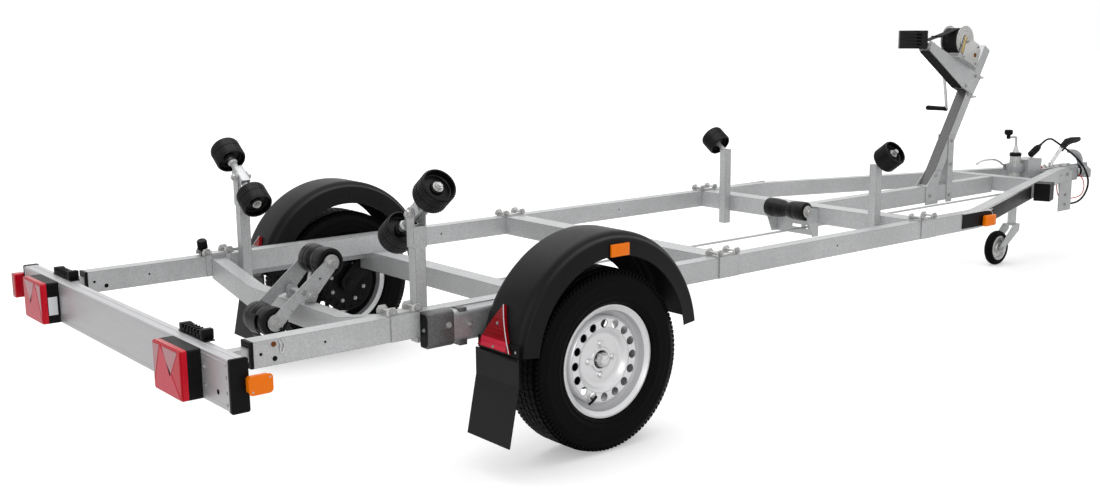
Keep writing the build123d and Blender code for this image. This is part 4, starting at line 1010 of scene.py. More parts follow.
# %% Tyres
tyre_half = [
    (181, 46), (181, 67), (196.5, 75), (199, 83), (204, 90), (209, 92), (213, 90.5), (222, 95.5), (226, 96.6),
    (228, 95.8), (244, 98.4), (258, 98.4), (270, 96.6), (272, 97.4), (276, 96.8), (286, 93.0), (296, 87.0),
    (304, 80.0), (308.5, 70.0), (309.6, 60.0), (310.0, 40.0),
]
bore_half = [(190, -50), (196, -62), (214, -82), (240, -88), (268, -88), (290, -78), (297, -58)]
tyre_outline = both_halves(tyre_half) + both_halves(bore_half)
tread_rows = [
    # count, along, height, length, width, skew, phase
    (76, 0.0, 7.6, 23.0, 20.0, 0.18, 0.0),
    (76, 26.0, 7.6, 23.0, 21.0, -0.20, 0.3),
    (76, -26.0, 7.6, 23.0, 21.0, 0.20, 0.6),
    (76, 51.5, 7.2, 23.0, 20.0, 0.16, 0.1),
    (76, -51.5, 7.2, 23.0, 20.0, -0.16, 0.8),
]
crown_radius = 310.0
shoulder_blocks = 112
for side, tag in both_sides:
    bm = bmesh.new()
    middle = (0, side * wheel_y, wheel_z)
    turned(bm, tyre_outline, middle, crosswise, 120)
    for count, along, height, length, width, skew, phase in tread_rows:
        ring(bm, middle, crosswise, count, crown_radius, along, (height, length, width), skew, phase / count)
    for along in (73.0, -73.0):
        ring(bm, middle, crosswise, shoulder_blocks, 305.6, along, (8.0, 10.0, 16.0), 0.06)
        lug_phase = 0.5 / shoulder_blocks
        ring(bm, middle, crosswise, shoulder_blocks, 297.0, along * 1.165, (15.0, 6.5, 5.0), 0.0, lug_phase)
    add_piece("tyre_with_tread" + tag, bm, tyre_rubber, "wheel" + tag, 32.0, replaced=("tyre" + tag,))

# %% [markdown]
# Behind each wheel the brake drum is closed by a black back plate with a pressed ring, radial ribs
# and a few bolts. It covers the plain CAD drum like a tin, so one lathe outline goes over the inner
# face and round the rim, and a second one closes the outer face.

# %% Brake back plates
drum_y = 782
drum_bolt_radius = 84
plate_outline = [
    (22, -1.5), (72, -1.5), (78, -5), (92, -5), (96, -2), (112, -2), (118, -7), (126, -7), (127, -3),
    (123, 0), (121, 6), (121, 44), (118.3, 44), (118.3, -0.3), (22, -0.3),
]
lid_outline = [(24, 48.3), (119, 48.3), (121, 46), (121, 50), (118, 52), (24, 52)]
for side, tag in both_sides:
    outward = (0, side, 0)
    bm = bmesh.new()
    middle = (0, side * drum_y, wheel_z)
    turned(bm, plate_outline, middle, outward, 64)
    turned(bm, lid_outline, middle, outward, 64)
    ring(bm, middle, outward, 18, 106, -4.5, (14, 3, 6))
    ring(bm, middle, outward, 30, 121.6, 22, (2.4, 5, 38))
    add_piece("brake_plate" + tag, bm, black_plastic, "chassis")
    spots = []
    for degree in (20, 68, 112, 160, 205, 250, 295, 340):
        a = math.radians(degree)
        x, z = drum_bolt_radius * math.cos(a), wheel_z + drum_bolt_radius * math.sin(a)
        spots.append(((x, side * (drum_y - 5), z), (0, -side, 0), 6.5))
    bolts("brake_bolts" + tag, spots, zinc_plated, "chassis")

# %% [markdown]
# The trailing arm that carries each hub is a thick forged slab with round ends, painted black like
# the back plate. Its outline is two half circles, about the torsion tube and about the hub, joined
# by straight sides, so the points come from two arcs and not from a list.

# %% Painted trailing arms
tube_x, tube_z = 100, 415
arm_radius = 38.6
arc_steps = 14
heading = math.atan2(tube_z - wheel_z, tube_x)
outline = []
for cx, cz, start in ((tube_x, tube_z, heading - math.pi / 2), (0, wheel_z, heading + math.pi / 2)):
    for i in range(arc_steps + 1):
        a = start + math.pi * i / arc_steps
        outline.append((cx + arm_radius * math.cos(a), cz + arm_radius * math.sin(a)))
for side, tag in both_sides:
    bm = bmesh.new()
    plate(bm, outline, side * 761.4, side * 781.9, "XZ", 1.5)
    turned(bm, [(0, 0), (17, 0), (17, 4), (12, 7), (0, 7)], (0, side * 761.6, wheel_z), (0, -side, 0), 6)
    add_piece("trailing_arm" + tag, bm, black_plastic, "chassis")

# %% [markdown]
# ## Rollers
#
# The side rollers are ribbed rubber drums with a cup in each end, so that a nut can sit inside.
# Two rows of short ribs, set half a step apart, grip the hull. The lathe gives the drum and the
# ring tree gives the ribs. Each roller turns on its own body, so each is a piece of its own.

# %% Side rollers
drum_half = [
    (10.8, 25), (21, 25), (22.6, 23.5), (24, 17.5), (46, 16.5), (49.5, 19), (51, 25), (51.6, 40), (53, 41.8),
    (55.6, 41.8), (57, 40), (57.6, 35), (57.6, 1.6), (56.8, 1.0),
]
drum_outline = both_halves(drum_half)
slope = math.radians(36.5)
rear_pivot = (-545.0, 633.7, 842.0)
front_pivot = (2074.7, 470.0, 763.0)
rear_reach = 134
front_reach = 88
roller_ribs = 38


def along_arm(pivot, side, reach):
    """A place on the sloping line of the side rollers."""
    x, y, z = pivot
    return (x, side * (y + reach * math.cos(slope)), z + reach * math.sin(slope))


side_rollers = [
    ("outer", rear_pivot, rear_reach),
    ("inner", rear_pivot, -rear_reach),
    ("front", front_pivot, front_reach),
]
for side, tag in both_sides:
    arm = (0, side * math.cos(slope), math.sin(slope))
    for name, pivot, reach in side_rollers:
        body = "side_roller_" + name + tag
        bm = bmesh.new()
        middle = along_arm(pivot, side, reach)
        turned(bm, drum_outline, middle, arm, 64)
        for along, phase in ((18.5, 0.0), (-18.5, 0.5 / roller_ribs)):
            ring(bm, middle, arm, roller_ribs, 59.0, along, (2.0, 4.2, 32), 0.0, phase)
        add_piece(body + "_ribbed", bm, roller_rubber, body, 30.0, replaced=(body,))

# %% [markdown]
# The arm between the two rear side rollers is a round tube held in a folded saddle, with a pin at
# each end for a roller. It is drawn upright round its pivot, where the numbers are easy, and then
# leaned over as one mesh.

# %% Arms of the side rollers
def lean(bm, centre, angle, axis="X"):
    """Turn a whole mesh about a point of the drawing."""
    bmesh.ops.rotate(bm, cent=at(*centre), matrix=Matrix.Rotation(angle, 3, axis), verts=bm.verts)


def draw_roller_arm(side, tag):
    """The tube, pins and saddle between the two rear side rollers of one side."""
    x, y, z = rear_pivot[0], side * rear_pivot[1], rear_pivot[2]
    fall = -side * (math.pi / 2 - slope)
    bm = bmesh.new()
    rod(bm, [(x, y, z - 90), (x, y, z - 60), (x, y + side * 3, z), (x, y, z + 60), (x, y, z + 90)], 13.2)
    for end in (-1, 1):
        turned(bm, [(0, 0), (19, 0), (19, 5), (13.5, 12), (0, 12)], (x, y, z + end * 88), (0, 0, -end), 28)
        turned(bm, [(0, 0), (10, 0), (10, 86), (8.5, 88), (0, 88)], (x, y, z + end * 84), (0, 0, end), 20)
    for across in (-18.4, 15.4):
        outline = [(-20, -44), (14, -44), (22, -34), (22, 34), (14, 44), (-20, 44)]
        cheek = [(y + side * a, z + b) for a, b in outline]
        plate(bm, cheek, x + across, x + across + 3, "YZ", 0.6)
    low_y, high_y = sorted((y - side * 20, y - side * 17))
    block(bm, (x - 18, low_y, z - 44), (x + 18, high_y, z + 44), 0.8)
    lean(bm, (x, y, z), fall)
    rod(bm, [(x - 28, y, z), (x + 28, y, z)], 9.6, smooth=False)
    rocker = "side_rocker" + tag
    add_piece("roller_arm" + tag, bm, galvanised, rocker, replaced=(rocker,))


print("arms ready to draw")

# %% [markdown]
# The lock nuts sit at the bottom of the rollers' cups, with two more on the saddle's pivot. They
# are points for the bolt tree, whose facing runs along the arm.

# %% Nuts of the side rollers
nut_size = 13.0
nut_reach = 26.4
lock_nut = {"Head": 0.75, "Washer": 0.16, "Collar": 1.4}


def add_roller_nuts(side, tag):
    """The nuts at the ends of the pins, and at the pivot of the saddle."""
    x, y, z = rear_pivot[0], side * rear_pivot[1], rear_pivot[2]
    outward = (0, side * math.cos(slope), math.sin(slope))
    inward = (0, -side * math.cos(slope), -math.sin(slope))
    spots = [
        (along_arm(rear_pivot, side, -rear_reach - nut_reach), inward, nut_size),
        (along_arm(rear_pivot, side, rear_reach + nut_reach), outward, nut_size),
        ((x - 25.4, y, z), (-1, 0, 0), nut_size),
        ((x + 25.4, y, z), (1, 0, 0), nut_size),
    ]
    bolts("roller_arm_nuts" + tag, spots, zinc_plated, "side_rocker" + tag, **lock_nut)
    tip = along_arm(front_pivot, side, front_reach + nut_reach)
    bolts("front_roller_nut" + tag, [(tip, outward, nut_size)], zinc_plated, "chassis", **lock_nut)


for side, tag in both_sides:
    draw_roller_arm(side, tag)
    add_roller_nuts(side, tag)

# %% [markdown]
# The keel rollers are turned from black rubber, thinner in the middle so that the keel stays
# centred, with a moulded line either side of the waist. Two lengths of roller come from one outline
# that is worked out from half the length, the radius and the waist.

# %% Keel rollers
rear_keel = (-779, 413)
fore_keel = (-551, 597)
bow_place = (2019, 520)


def roller_outline(half, radius, waist):
    """Half outline of a keel roller, mirrored about its middle."""
    side = [
        (10.6, half - 5), (31, half - 5), (35, half - 0.5), (radius - 7, half - 0.5),
        (radius - 2, half - 3), (radius, half - 9), (radius - 0.4, half * 0.52),
        (radius - 1.6, half * 0.50), (radius - 1.6, half * 0.47), (radius - 1.0, half * 0.45),
        ((radius + waist) / 2 + 1, half * 0.2), (waist + 0.6, half * 0.09), (waist - 1.2, half * 0.07),
        (waist - 1.2, half * 0.03), (waist, half * 0.015),
    ]
    return both_halves(side)


for body, (x, z), half, radius, waist in (
    ("keel_roller_rear", rear_keel, 75, 54, 47),
    ("keel_roller_fore", fore_keel, 75, 54, 47),
    ("bow_roller", bow_place, 120, 46, 34),
):
    bm = bmesh.new()
    turned(bm, roller_outline(half, radius, waist), (x, 0, z), crosswise, 64)
    add_piece(body + "_turned", bm, roller_rubber, body, 28.0, replaced=(body,))

# %% [markdown]
# The two keel rollers hang between a pair of rocking plates. Light zinc discs hold them off the
# plates, and a folded lip along the lower edge stiffens each plate. The lips are short plates that
# stay inside the outline of the CAD plate, because the beam passes close below when it tilts.

# %% Rocker discs, lips and bolts
bm = bmesh.new()
for x, z in (rear_keel, fore_keel):
    for side in (-1, 1):
        turned(bm, [(10, 0), (29, 0), (31, 1.5), (31, 5), (10, 5)], (x, side * 75.6, z), (0, side, 0), 40)
for side in (-1, 1):
    for (x0, z0), (x1, z1) in (((-535, 577), (-612, 492)), ((-686, 468), (-757, 398))):
        lip = [(x0 - 5, z0 + 4), (x1 - 5, z1 + 4), (x1 - 2, z1 + 1), (x0 - 2, z0 + 1)]
        plate(bm, lip, side * 81.2, side * 88.5, "XZ", 0.4)
add_piece("rocker_discs_and_lips", bm, zinc_plated, "keel_rocker")
rocker_face = 86.1
spots = []
for side in (-1, 1):
    for x, z, size in ((*rear_keel, 15), (*fore_keel, 15), (-636, 490, 15), (-668, 505, 7)):
        spots.append(((x, side * rocker_face, z), (0, side, 0), size))
bolts("rocker_bolts", spots, zinc_plated, "keel_rocker", Stud=0.2)

# %% [markdown]
# Small round holes are drawn as shallow black discs, which paint the shade inside each hole. Cutting
# each through a CAD node would mean changing that node, and from any real distance a hole in sheet
# metal is just dark.

# %% Finish for holes and the rocker's holes
hole_black = plastic_finish("hole_shadow", (0.004, 0.004, 0.004), (0.01, 0.01, 0.01), 0.8, 900.0, 0.02, 0.0)


def holes(name, points, body):
    """Dark round holes on one body."""
    flat = {"Sides": 20, "Head": 0.03, "Washer": 0.02, "Collar": 1.0, "Stud": 0.01, "Bore": 0.4}
    return bolts(name, points, hole_black, body, "black_plastic", **flat)


spots = []
for side in (-1, 1):
    for x, z, size in ((-541, 572, 6), (-767, 394, 6), (-603, 548, 4), (-715, 445, 4)):
        spots.append(((x, side * rocker_face, z), (0, side, 0), size))
holes("rocker_holes", spots, "keel_rocker")

# %% [markdown]
# A curved rubber scraper lies behind the rear keel roller and rides with the rocker. Further forward,
# the bow roller turns between two zinc discs and two nuts, which stay with the frame. The scraper's
# outline is an arc about the roller's axle and the same arc drawn in a little.

# %% Scraper and bow roller discs
bm = bmesh.new()
scraper_radius = 61
x0, z0 = rear_keel
lip = []
for degree in range(150, 236, 12):
    a = math.radians(degree)
    lip.append((x0 + scraper_radius * math.cos(a), z0 + scraper_radius * math.sin(a)))
back = [(x + 0.06 * (x0 - x), z + 0.06 * (z0 - z)) for x, z in reversed(lip)]
plate(bm, lip + back, -34, 34, "XZ")
outline = [(lip[-1][0] - 2, lip[-1][1] - 2), (lip[-1][0] + 2, lip[-1][1] + 1), (-800, 346), (-812, 342)]
plate(bm, outline, -30, 30, "XZ")
add_piece("scraper", bm, roller_rubber, "keel_rocker")
bm = bmesh.new()
x, z = bow_place
for side in (-1, 1):
    turned(bm, [(10, 0), (28, 0), (30, 1.5), (30, 5), (10, 5)], (x, side * 120.6, z), (0, side, 0), 40)
add_piece("bow_roller_discs", bm, zinc_plated, "chassis")
spots = [((x, side * 131.2, z), (0, side, 0), 14) for side in (-1, 1)]
bolts("bow_roller_nuts", spots, zinc_plated, "chassis", Stud=0.2)

# %% [markdown]
# ## Fenders
#
# A fender is one vacuum-formed arch: a flat crown, soft shoulders, a step along the outer skirt and
# a thin lip at its lower edge. A profile swung about the arch's centre gives it in one go, and the
# profile is closed, so the sheet has a real thickness.

# %% Swung shapes
def swung(bm, profile, centre, first, last, steps, side=1):
    """Swing a closed profile of (place across, radius) about the Y axis, between two angles."""
    cx, cz = centre
    rings = []
    for i in range(steps + 1):
        a = math.radians(first + (last - first) * i / steps)
        rings.append([
            bm.verts.new(at(cx + r * math.cos(a), side * y, cz + r * math.sin(a))) for y, r in profile
        ])
    count = len(profile)
    for a, b in zip(rings, rings[1:]):
        for j in range(count):
            k = (j + 1) % count
            bm.faces.new((a[j], a[k], b[k], b[j]))
    bm.faces.new(rings[0])
    bm.faces.new(list(reversed(rings[-1])))


print("ready to swing")

# %% [markdown]
# The profile runs up the outside of the skirt that faces the frame, over the crown and down the outer
# skirt, and then comes back along the inside of the sheet. At the rear a short flat wall carries the
# crown on downwards, because the flap is fixed there. A solidify modifier could thicken one skin,
# but two drawn skins keep the shoulders as round as they should be.

# %% Fender arches
fender_centre = (0, 355)
skin = [
    (759, 311), (759, 377), (760.5, 383), (765, 386.5), (772, 388), (777, 390), (781, 394), (785, 400),
    (791, 404), (800, 405), (870, 405), (936, 405), (948, 404), (956, 400), (961, 394), (965, 389.5),
    (971, 387.5), (977, 385.5), (981, 381), (982.4, 375), (982.4, 334), (984, 330), (984, 325.5),
]
lining = [
    (980.6, 325.5), (979, 330), (979, 374), (977.6, 378.5), (974.6, 381.6), (969, 383.6), (962.5, 386),
    (958, 391), (953, 396.8), (946, 400), (936, 401), (800, 401), (792, 400.2), (788, 397.4),
    (784, 391), (779.6, 386.6), (773, 384), (767, 382.6), (764, 380), (762.6, 375.6), (762.4, 311),
]
for side, tag in both_sides:
    bm = bmesh.new()
    swung(bm, skin + lining, fender_centre, 7.0, 173.6, 72, side)
    side_block(bm, side, (-405, 772, 327), (-401, 968, 402), 0.8)
    add_piece(
        "fender_arch" + tag, bm, black_moulding, "chassis", 38.0,
        replaced=("fender" + tag,),
    )

# %% [markdown]
# Below the arch hangs a plain rubber flap, held by two screws under a pressed strip. On the inner
# skirt a few dark holes are left where it can be fixed. The screws and the holes are points for the
# bolt tree, worked out from their angle on the arch.

# %% Flap strips, screws and fender holes
small_screw = {"Sides": 16, "Stud": 0.1}
for side, tag in both_sides:
    low_y, high_y = sorted((side * 766, side * 978))
    bm = bmesh.new()
    strip = [(-404.8, 401), (-404.8, 437), (-402.5, 441), (-399.6, 441), (-399.6, 401)]
    plate(bm, strip, low_y, high_y, "XZ")
    block(bm, (-412.8, low_y, 391), (-405.4, high_y, 400), 1.2)
    add_piece("flap_strip" + tag, bm, black_plastic, "chassis")
    spots = [((-405.0, side * y, 420), (-1, 0, 0), 3.4) for y in (778, 966)]
    bolts("fender_screws" + tag, spots, zinc_plated, "chassis", Head=0.3, **small_screw)
    spots = []
    for degree in (60, 88, 118):
        a = math.radians(degree)
        for r in (338, 360):
            x, z = r * math.cos(a), fender_centre[1] + r * math.sin(a)
            spots.append(((x, side * 758.8, z), (0, -side, 0), 3.6))
    holes("fender_holes" + tag, spots, "chassis")

# %% [markdown]
# The red triangles at the back of the fenders are prismatic reflectors, held by two screws, with a
# brighter band along the foot and a pale moulded edge on the outer side. They lie on the fender's
# curve, so the band is swung like the fender, and the edge is a rod whose points keep its radius.

# %% Triangle bands, edges and screws
triangle_face = 418.6
triangle_y = 859.3
triangle_half_height = 73.6
triangle_half_width = 85
edge_steps = 8
red_reflector = lens_finish("red_reflector", (0.82, 0.035, 0.085), (0.44, 0.006, 0.024), 330.0)
for side, tag in both_sides:
    spots = []
    for degree in (171.0, 160.5):
        a = math.radians(degree)
        out = (math.cos(a), 0, math.sin(a))
        x, z = triangle_face * out[0], fender_centre[1] + triangle_face * out[2]
        spots.append(((x, side * triangle_y, z), out, 4.0))
    bolts("triangle_screws" + tag, spots, zinc_plated, "chassis", Head=0.4, **small_screw)
    bm = bmesh.new()
    band = [(793, triangle_face), (926, triangle_face), (926, 419.2), (793, 419.2)]
    swung(bm, band, fender_centre, 167.4, 171.9, 6, side)
    add_piece("triangle_band" + tag, bm, red_reflector, "chassis")
    bm = bmesh.new()
    edge = []
    for i in range(edge_steps + 1):
        drop = triangle_half_height - 2 * triangle_half_height * i / edge_steps
        a = math.radians(162) - math.asin(drop / 418.5)
        y = side * (triangle_y + triangle_half_width * i / edge_steps)
        edge.append((419 * math.cos(a), y, fender_centre[1] + 419 * math.sin(a)))
    rod(bm, edge, 1.5)
    add_piece("triangle_edge" + tag, bm, clear_lens, "chassis")

# %% [markdown]
# ## Light board
#
# The plank across the rear is drawn aluminium with black end caps. Each lamp has a red face in a red
# rim, with an upright reflector triangle and two pale windows laid into it, and a clear light in its
# side for the number plate. Thin plates in several finishes, each a little proud of the one below,
# read as one moulded lamp.

# %% Lamp faces
def rounded(low, high, corner, steps=4):
    """Outline of a rounded rectangle between two corners of a plane."""
    points = []
    for cx, cy, start in (
        (high[0] - corner, high[1] - corner, 0), (low[0] + corner, high[1] - corner, 90),
        (low[0] + corner, low[1] + corner, 180), (high[0] - corner, low[1] + corner, 270),
    ):
        for i in range(steps + 1):
            a = math.radians(start + 90 * i / steps)
            points.append((cx + corner * math.cos(a), cy + corner * math.sin(a)))
    return points


lamp_y = 605
inner_edge = 505
pink_lens = lens_finish("pink_lens", (0.62, 0.34, 0.36), (0.42, 0.16, 0.18), 260.0)
lens_frames, lens_fields, triangles, windows, lamp_backs, plate_lights = [bmesh.new() for i in range(6)]
for turn in (-1, 1):
    middle = turn * lamp_y
    face = rounded((middle - 100, 395), (middle + 100, 543), 8)
    shrunk = rounded((middle - 98, 397), (middle + 98, 541), 7)
    inner = rounded((middle - 94, 401), (middle + 94, 537), 4)
    plate(lens_frames, face, -1385, -1368.3, "YZ")
    plate(lens_frames, shrunk, -1388.2, -1384.9, "YZ")
    plate(lens_fields, inner, -1388.9, -1388.1, "YZ")
    standing = [(turn * (inner_edge + t), z) for t, z in ((5, 403), (188, 403), (61, 536))]
    plate(triangles, standing, -1389.9, -1388.8, "YZ")
    for corners in (((75, 536), (182, 536), (122, 455)), ((6, 534), (54, 536), (6, 424))):
        hanging = [(turn * (inner_edge + t), z) for t, z in corners]
        plate(windows, hanging, -1389.9, -1388.8, "YZ")
    y = turn * inner_edge
    block(plate_lights, (-1366, y - 1.2, 426), (-1334, y + 1.2, 492), 0.6)
    block(lamp_backs, (-1334, y - 2.2, 421), (-1331, y + 2.2, 497), 0.8)
    for z in (421, 495):
        block(lamp_backs, (-1366, y - 2.2, z), (-1331, y + 2.2, z + 3), 0.8)
end_lamp = rounded((897, 424), (938, 516), 6)
plate(lens_frames, end_lamp, -1362, -1321, "YZ", 1.2)
row(triangles, (-1362.4, 917.5, 436), 9, (0, 0, 8.6), (1.0, 32, 2.4))
add_piece("lamp_rims", lens_frames, red_lens, "rear_board", replaced=("lamp_lenses",))
add_piece("lamp_fields", lens_fields, red_lens, "rear_board")
add_piece("lamp_triangles", triangles, red_reflector, "rear_board")
add_piece("lamp_windows", windows, pink_lens, "rear_board")
add_piece("plate_lights", plate_lights, clear_lens, "rear_board")
add_piece("lamp_window_frames", lamp_backs, black_plastic, "rear_board")

# %% [markdown]
# The board is screwed to its tubes and has a rolled bead along each edge. The beads are long thin
# blocks, because a bead that only lived in a bump would vanish against the light.

# %% Board screws and beads
board_face = -1326.1
spots = []
for side in (-1, 1):
    for y, z, size in (
        (717, 492, 5), (721, 438, 5), (866, 526, 2.4), (868, 493, 4), (868, 448, 4), (867, 413, 4)
    ):
        spots.append(((board_face, side * y, z), (-1, 0, 0), size))
bolts("board_screws", spots, zinc_plated, "rear_board", "aluminium", Head=0.35, **small_screw)
holes("board_holes", [((board_face, side * 808, 439), (-1, 0, 0), 8) for side in (-1, 1)], "rear_board")
bm = bmesh.new()
for z in (408, 531):
    block(bm, (-1326.9, -884, z), (-1325.9, 884, z + 3.2), 0.3)
for side in (-1, 1):
    side_block(bm, side, (-1328.2, 876, 396), (-1325.9, 884.6, 544), 0.5)
block(bm, (-1300, -884, 544.9), (-1296, 884, 546.2), 0.4)
add_piece("board_beads", bm, aluminium, "rear_board")

# %% [markdown]
# Above each lamp a ribbed black holder is clipped over the board's top edge. Its ribs are a row from
# the row tree, drawn into the same mesh as its blocks.

# %% Holders on the board
bm = bmesh.new()
for side in (-1, 1):
    y = side * 565
    block(bm, (-1292, y - 95, 545.3), (-1260, y + 95, 549), 1.0)
    block(bm, (-1289, y - 84, 548.8), (-1263, y + 70, 566), 2.0)
    row(bm, (-1276, y - 78, 566), 7, (0, 21, 0), (30, 5, 12))
    row(bm, (-1290, y - 70, 557), 6, (0, 25, 0), (6, 14, 8))
    for spot in (-84, 62):
        block(bm, (-1294, y + spot, 549), (-1258, y + spot + 22, 580 if spot < 0 else 573), 3.0)
add_piece("board_holders", bm, black_plastic, "rear_board", replaced=("board_buckles",))

# %% [markdown]
# One end of the board carries an orange side marker: a rounded lens on a thinner foot, with raised
# ribs inside its face and a screw in two of its corners.

# %% Orange marker
marker_face = -920.9
bm = bmesh.new()
plate(bm, rounded((-1287, 442), (-1213, 498), 12), -921.0, -917.5, "XZ", 0.8)
plate(bm, rounded((-1284, 445), (-1216, 495), 10), -917.6, -897.0, "XZ")
row(bm, (-1268, -920.6, 453), 5, (0, 0, 8.5), (26, 0.7, 2))
add_piece("side_marker_lens", bm, orange_lens, "rear_board", replaced=("board_markers",))
spots = [((x, marker_face, z), (0, -1, 0), 3.0) for x, z in ((-1275, 452), (-1222, 488))]
flush = {"Sides": 16, "Head": 0.05, "Washer": 0.01, "Collar": 1.0, "Stud": 0.01}
bolts("side_marker_screws", spots, zinc_plated, "rear_board", **flush)

# %% [markdown]
# ## Pressed wheels
#
# The wheel is a rolled barrel with a pressed disc welded inside. Everything round is turned, and
# only the band with the sixteen hand holes needs more: each sixteenth of the band is a small sheet
# with a round hole, made by joining points on the hole to points on the sheet's border. A boolean
# could cut the holes, but it leaves long thin faces that shade badly on polished metal.

# %% Outlines of the wheel
barrel = [
    (195, 80.5), (195.5, 77), (192, 74.5), (181, 72), (179, 66), (178, 47), (156, 24), (155, -24), (178, -47),
    (179, -66), (181, -72), (192, -74.5), (195.5, -77), (195, -80.5), (192, -81), (186, -78.5), (176, -74),
    (174, -46), (151.4, -22), (151.4, 22), (170, 42), (172, 46), (174, 60), (174.5, 70), (183, 76), (189, 81),
]
disc_edge = [
    (151.3, 20), (151.3, 46), (149.5, 54), (146.5, 58.5), (143.5, 60), (143.5, 57), (146, 52), (148, 45),
    (148, 20),
]
disc_middle = [
    (112.5, 58.5), (107, 56.5), (99, 46.5), (92, 40), (86, 37.5), (79, 38.5), (72, 40.5), (44, 41),
    (41, 44.5), (33, 45), (30.5, 42), (30.5, 34), (72, 36.5), (86, 34), (94, 36.5), (102, 43.5),
    (109, 53.5), (112.5, 55.5),
]
print("outline points", len(barrel), len(disc_edge), len(disc_middle))

# %% [markdown]
# On the real wheel the hand holes are punched through the disc, and the sheet shows its thickness in
# them. Points go round each hole and, on the same rays, round the border of its small sheet, once in
# front and once behind. Rings of four-sided faces join them, and the wall of the hole comes with them.

# %% A band with round holes
def holed_band(bm, side, count, inner, outer, levels, hole, sheet=3.0):
    """A thin conical band with round holes, between two radii whose places across are the levels."""
    middle = (inner + outer) / 2
    half_wide = math.pi / count * middle
    half_high = (outer - inner) / 2
    corner = math.atan2(half_high, half_wide)
    turns = []
    for start, span, parts in ((-corner, 2 * corner, 4), (corner, math.pi - 2 * corner, 6)):
        for half_turn in (0, math.pi):
            turns += [start + half_turn + span * i / parts for i in range(parts)]
    turns.sort()
    for sector in range(count):
        aim = 2 * math.pi * sector / count
        layers = []
        for drop in (0.0, sheet):
            for far in (False, True):
                loop = []
                for turn in turns:
                    reach = hole
                    if far:
                        across, up = max(1e-9, abs(math.cos(turn))), max(1e-9, abs(math.sin(turn)))
                        reach = min(half_wide / across, half_high / up)
                    radius = middle + reach * math.sin(turn)
                    a = aim + reach * math.cos(turn) / middle
                    level = levels[0] + (levels[1] - levels[0]) * (radius - inner) / (outer - inner) - drop
                    x, z = radius * math.cos(a), wheel_z + radius * math.sin(a)
                    loop.append(bm.verts.new(at(x, side * (wheel_y + level), z)))
                layers.append(loop)
        for first, second in ((layers[0], layers[1]), (layers[2], layers[3]), (layers[0], layers[2])):
            for i in range(len(turns)):
                j = (i + 1) % len(turns)
                bm.faces.new((first[i], first[j], second[j], second[i]))


print("band ready")

# %% [markdown]
# The face of a wheel is painted silver, and the faces behind it are darkened with the black of the
# fenders as painted shade: the seat of the disc, the backs that look inwards and the well of the
# barrel. A second material slot does this on one mesh: each face is judged by its place along the
# axle and by where it looks.

# %% The painted shade inside a wheel
def paint_shade_inside(wheel, side):
    """Give the inward faces of a wheel the second material, a painted shade; returns how many there are."""
    dark = 0
    for face in wheel.data.polygons:
        x, y, z = face.center.x, face.center.y, face.center.z - wheel_z / 1000
        along = side * y * 1000 - wheel_y
        radius = math.hypot(x, z) * 1000
        outward = side * face.normal.y
        inward = -(face.normal.x * x + face.normal.z * z)
        seat = 143.3 < radius < 150 and outward < 0.5 and along < 57
        behind = outward < -0.3 and -70 < along < 58
        well = inward > 0 and -76 < along < 20
        if seat or behind or well:
            face.material_index = 1
            dark += 1
    return dark


print("ready to darken")

# %% [markdown]
# A finished wheel is three turned outlines and the holed band in one mesh: the barrel, the rim of
# the disc outside the holes, and the dished middle inside them. It takes the place of the CAD's
# rim, which is a plainer body, and it rides on the body that turns.

# %% Pressed wheels
def press_wheel(side, tag):
    """The barrel, the disc and the band with holes, as one piece in two finishes."""
    middle = (0, side * wheel_y, wheel_z)
    out = (0, side, 0)
    bm = bmesh.new()
    turned(bm, barrel, middle, out, 96)
    turned(bm, disc_edge, middle, out, 96)
    turned(bm, disc_middle, middle, out, 96)
    holed_band(bm, side, 16, 112.5, 143.5, (58.5, 60.0), 14.5)
    body = "wheel" + tag
    wheel = add_piece(
        "pressed_wheel" + tag, bm, wheel_silver, body, 32.0, replaced=("rim" + tag,)
    )
    # The second slot, black moulding, is painted shade on the inside of the wheel.
    wheel.data.materials.append(black_moulding)
    print("dark inside faces", paint_shade_inside(wheel, side))


print("wheels ready to press")

# %% [markdown]
# In the middle of the disc stand four bolts and a grease cap with a hexagonal foot, and a rubber
# valve comes through near the rim. All of them turn with the wheel, so they ride on its body.

# %% Grease caps, wheel bolts and valves
bolt_circle = 55
hexagon_outline = [(0, 69), (14, 68.4), (22, 65), (25, 58), (25.5, 44), (27, 42), (27, 36), (0, 36)]
cap_outline = [(0, 69.5), (12, 69), (20, 65), (23.4, 58), (24, 44), (24, 37), (0, 37)]


def fit_wheel(side, tag):
    """The grease cap, the four bolts and the valve of one wheel."""
    body = "wheel" + tag
    middle = (0, side * wheel_y, wheel_z)
    out = (0, side, 0)
    bm = bmesh.new()
    turned(bm, hexagon_outline, middle, out, 6)
    turned(bm, cap_outline, middle, out, 36)
    add_piece("grease_cap" + tag, bm, polished_steel, body)
    spots = []
    for quarter in range(4):
        a = quarter * math.pi / 2
        x, z = bolt_circle * math.cos(a), wheel_z + bolt_circle * math.sin(a)
        spots.append(((x, side * 909.6, z), out, 10.0))
    bolts("wheel_bolts" + tag, spots, polished_steel, body, Head=1.0, Washer=0.4, Collar=1.2, Stud=0.06)
    bm = bmesh.new()
    stem = [(-70, 930, -140), (-62, 946, -126), (-50, 946, -112)]
    rod(bm, [(x, side * y, wheel_z + z) for x, y, z in stem], 4.4)
    add_piece("valve" + tag, bm, black_plastic, body)


for side, tag in both_sides:
    press_wheel(side, tag)
    fit_wheel(side, tag)

# %% [markdown]
# ## Frame fittings
#
# Each cross beam is held to the rails by a saddle with upright ears, and long bolts go through the
# ears. The same three saddles on each rail differ only by their place, so a loop makes them.

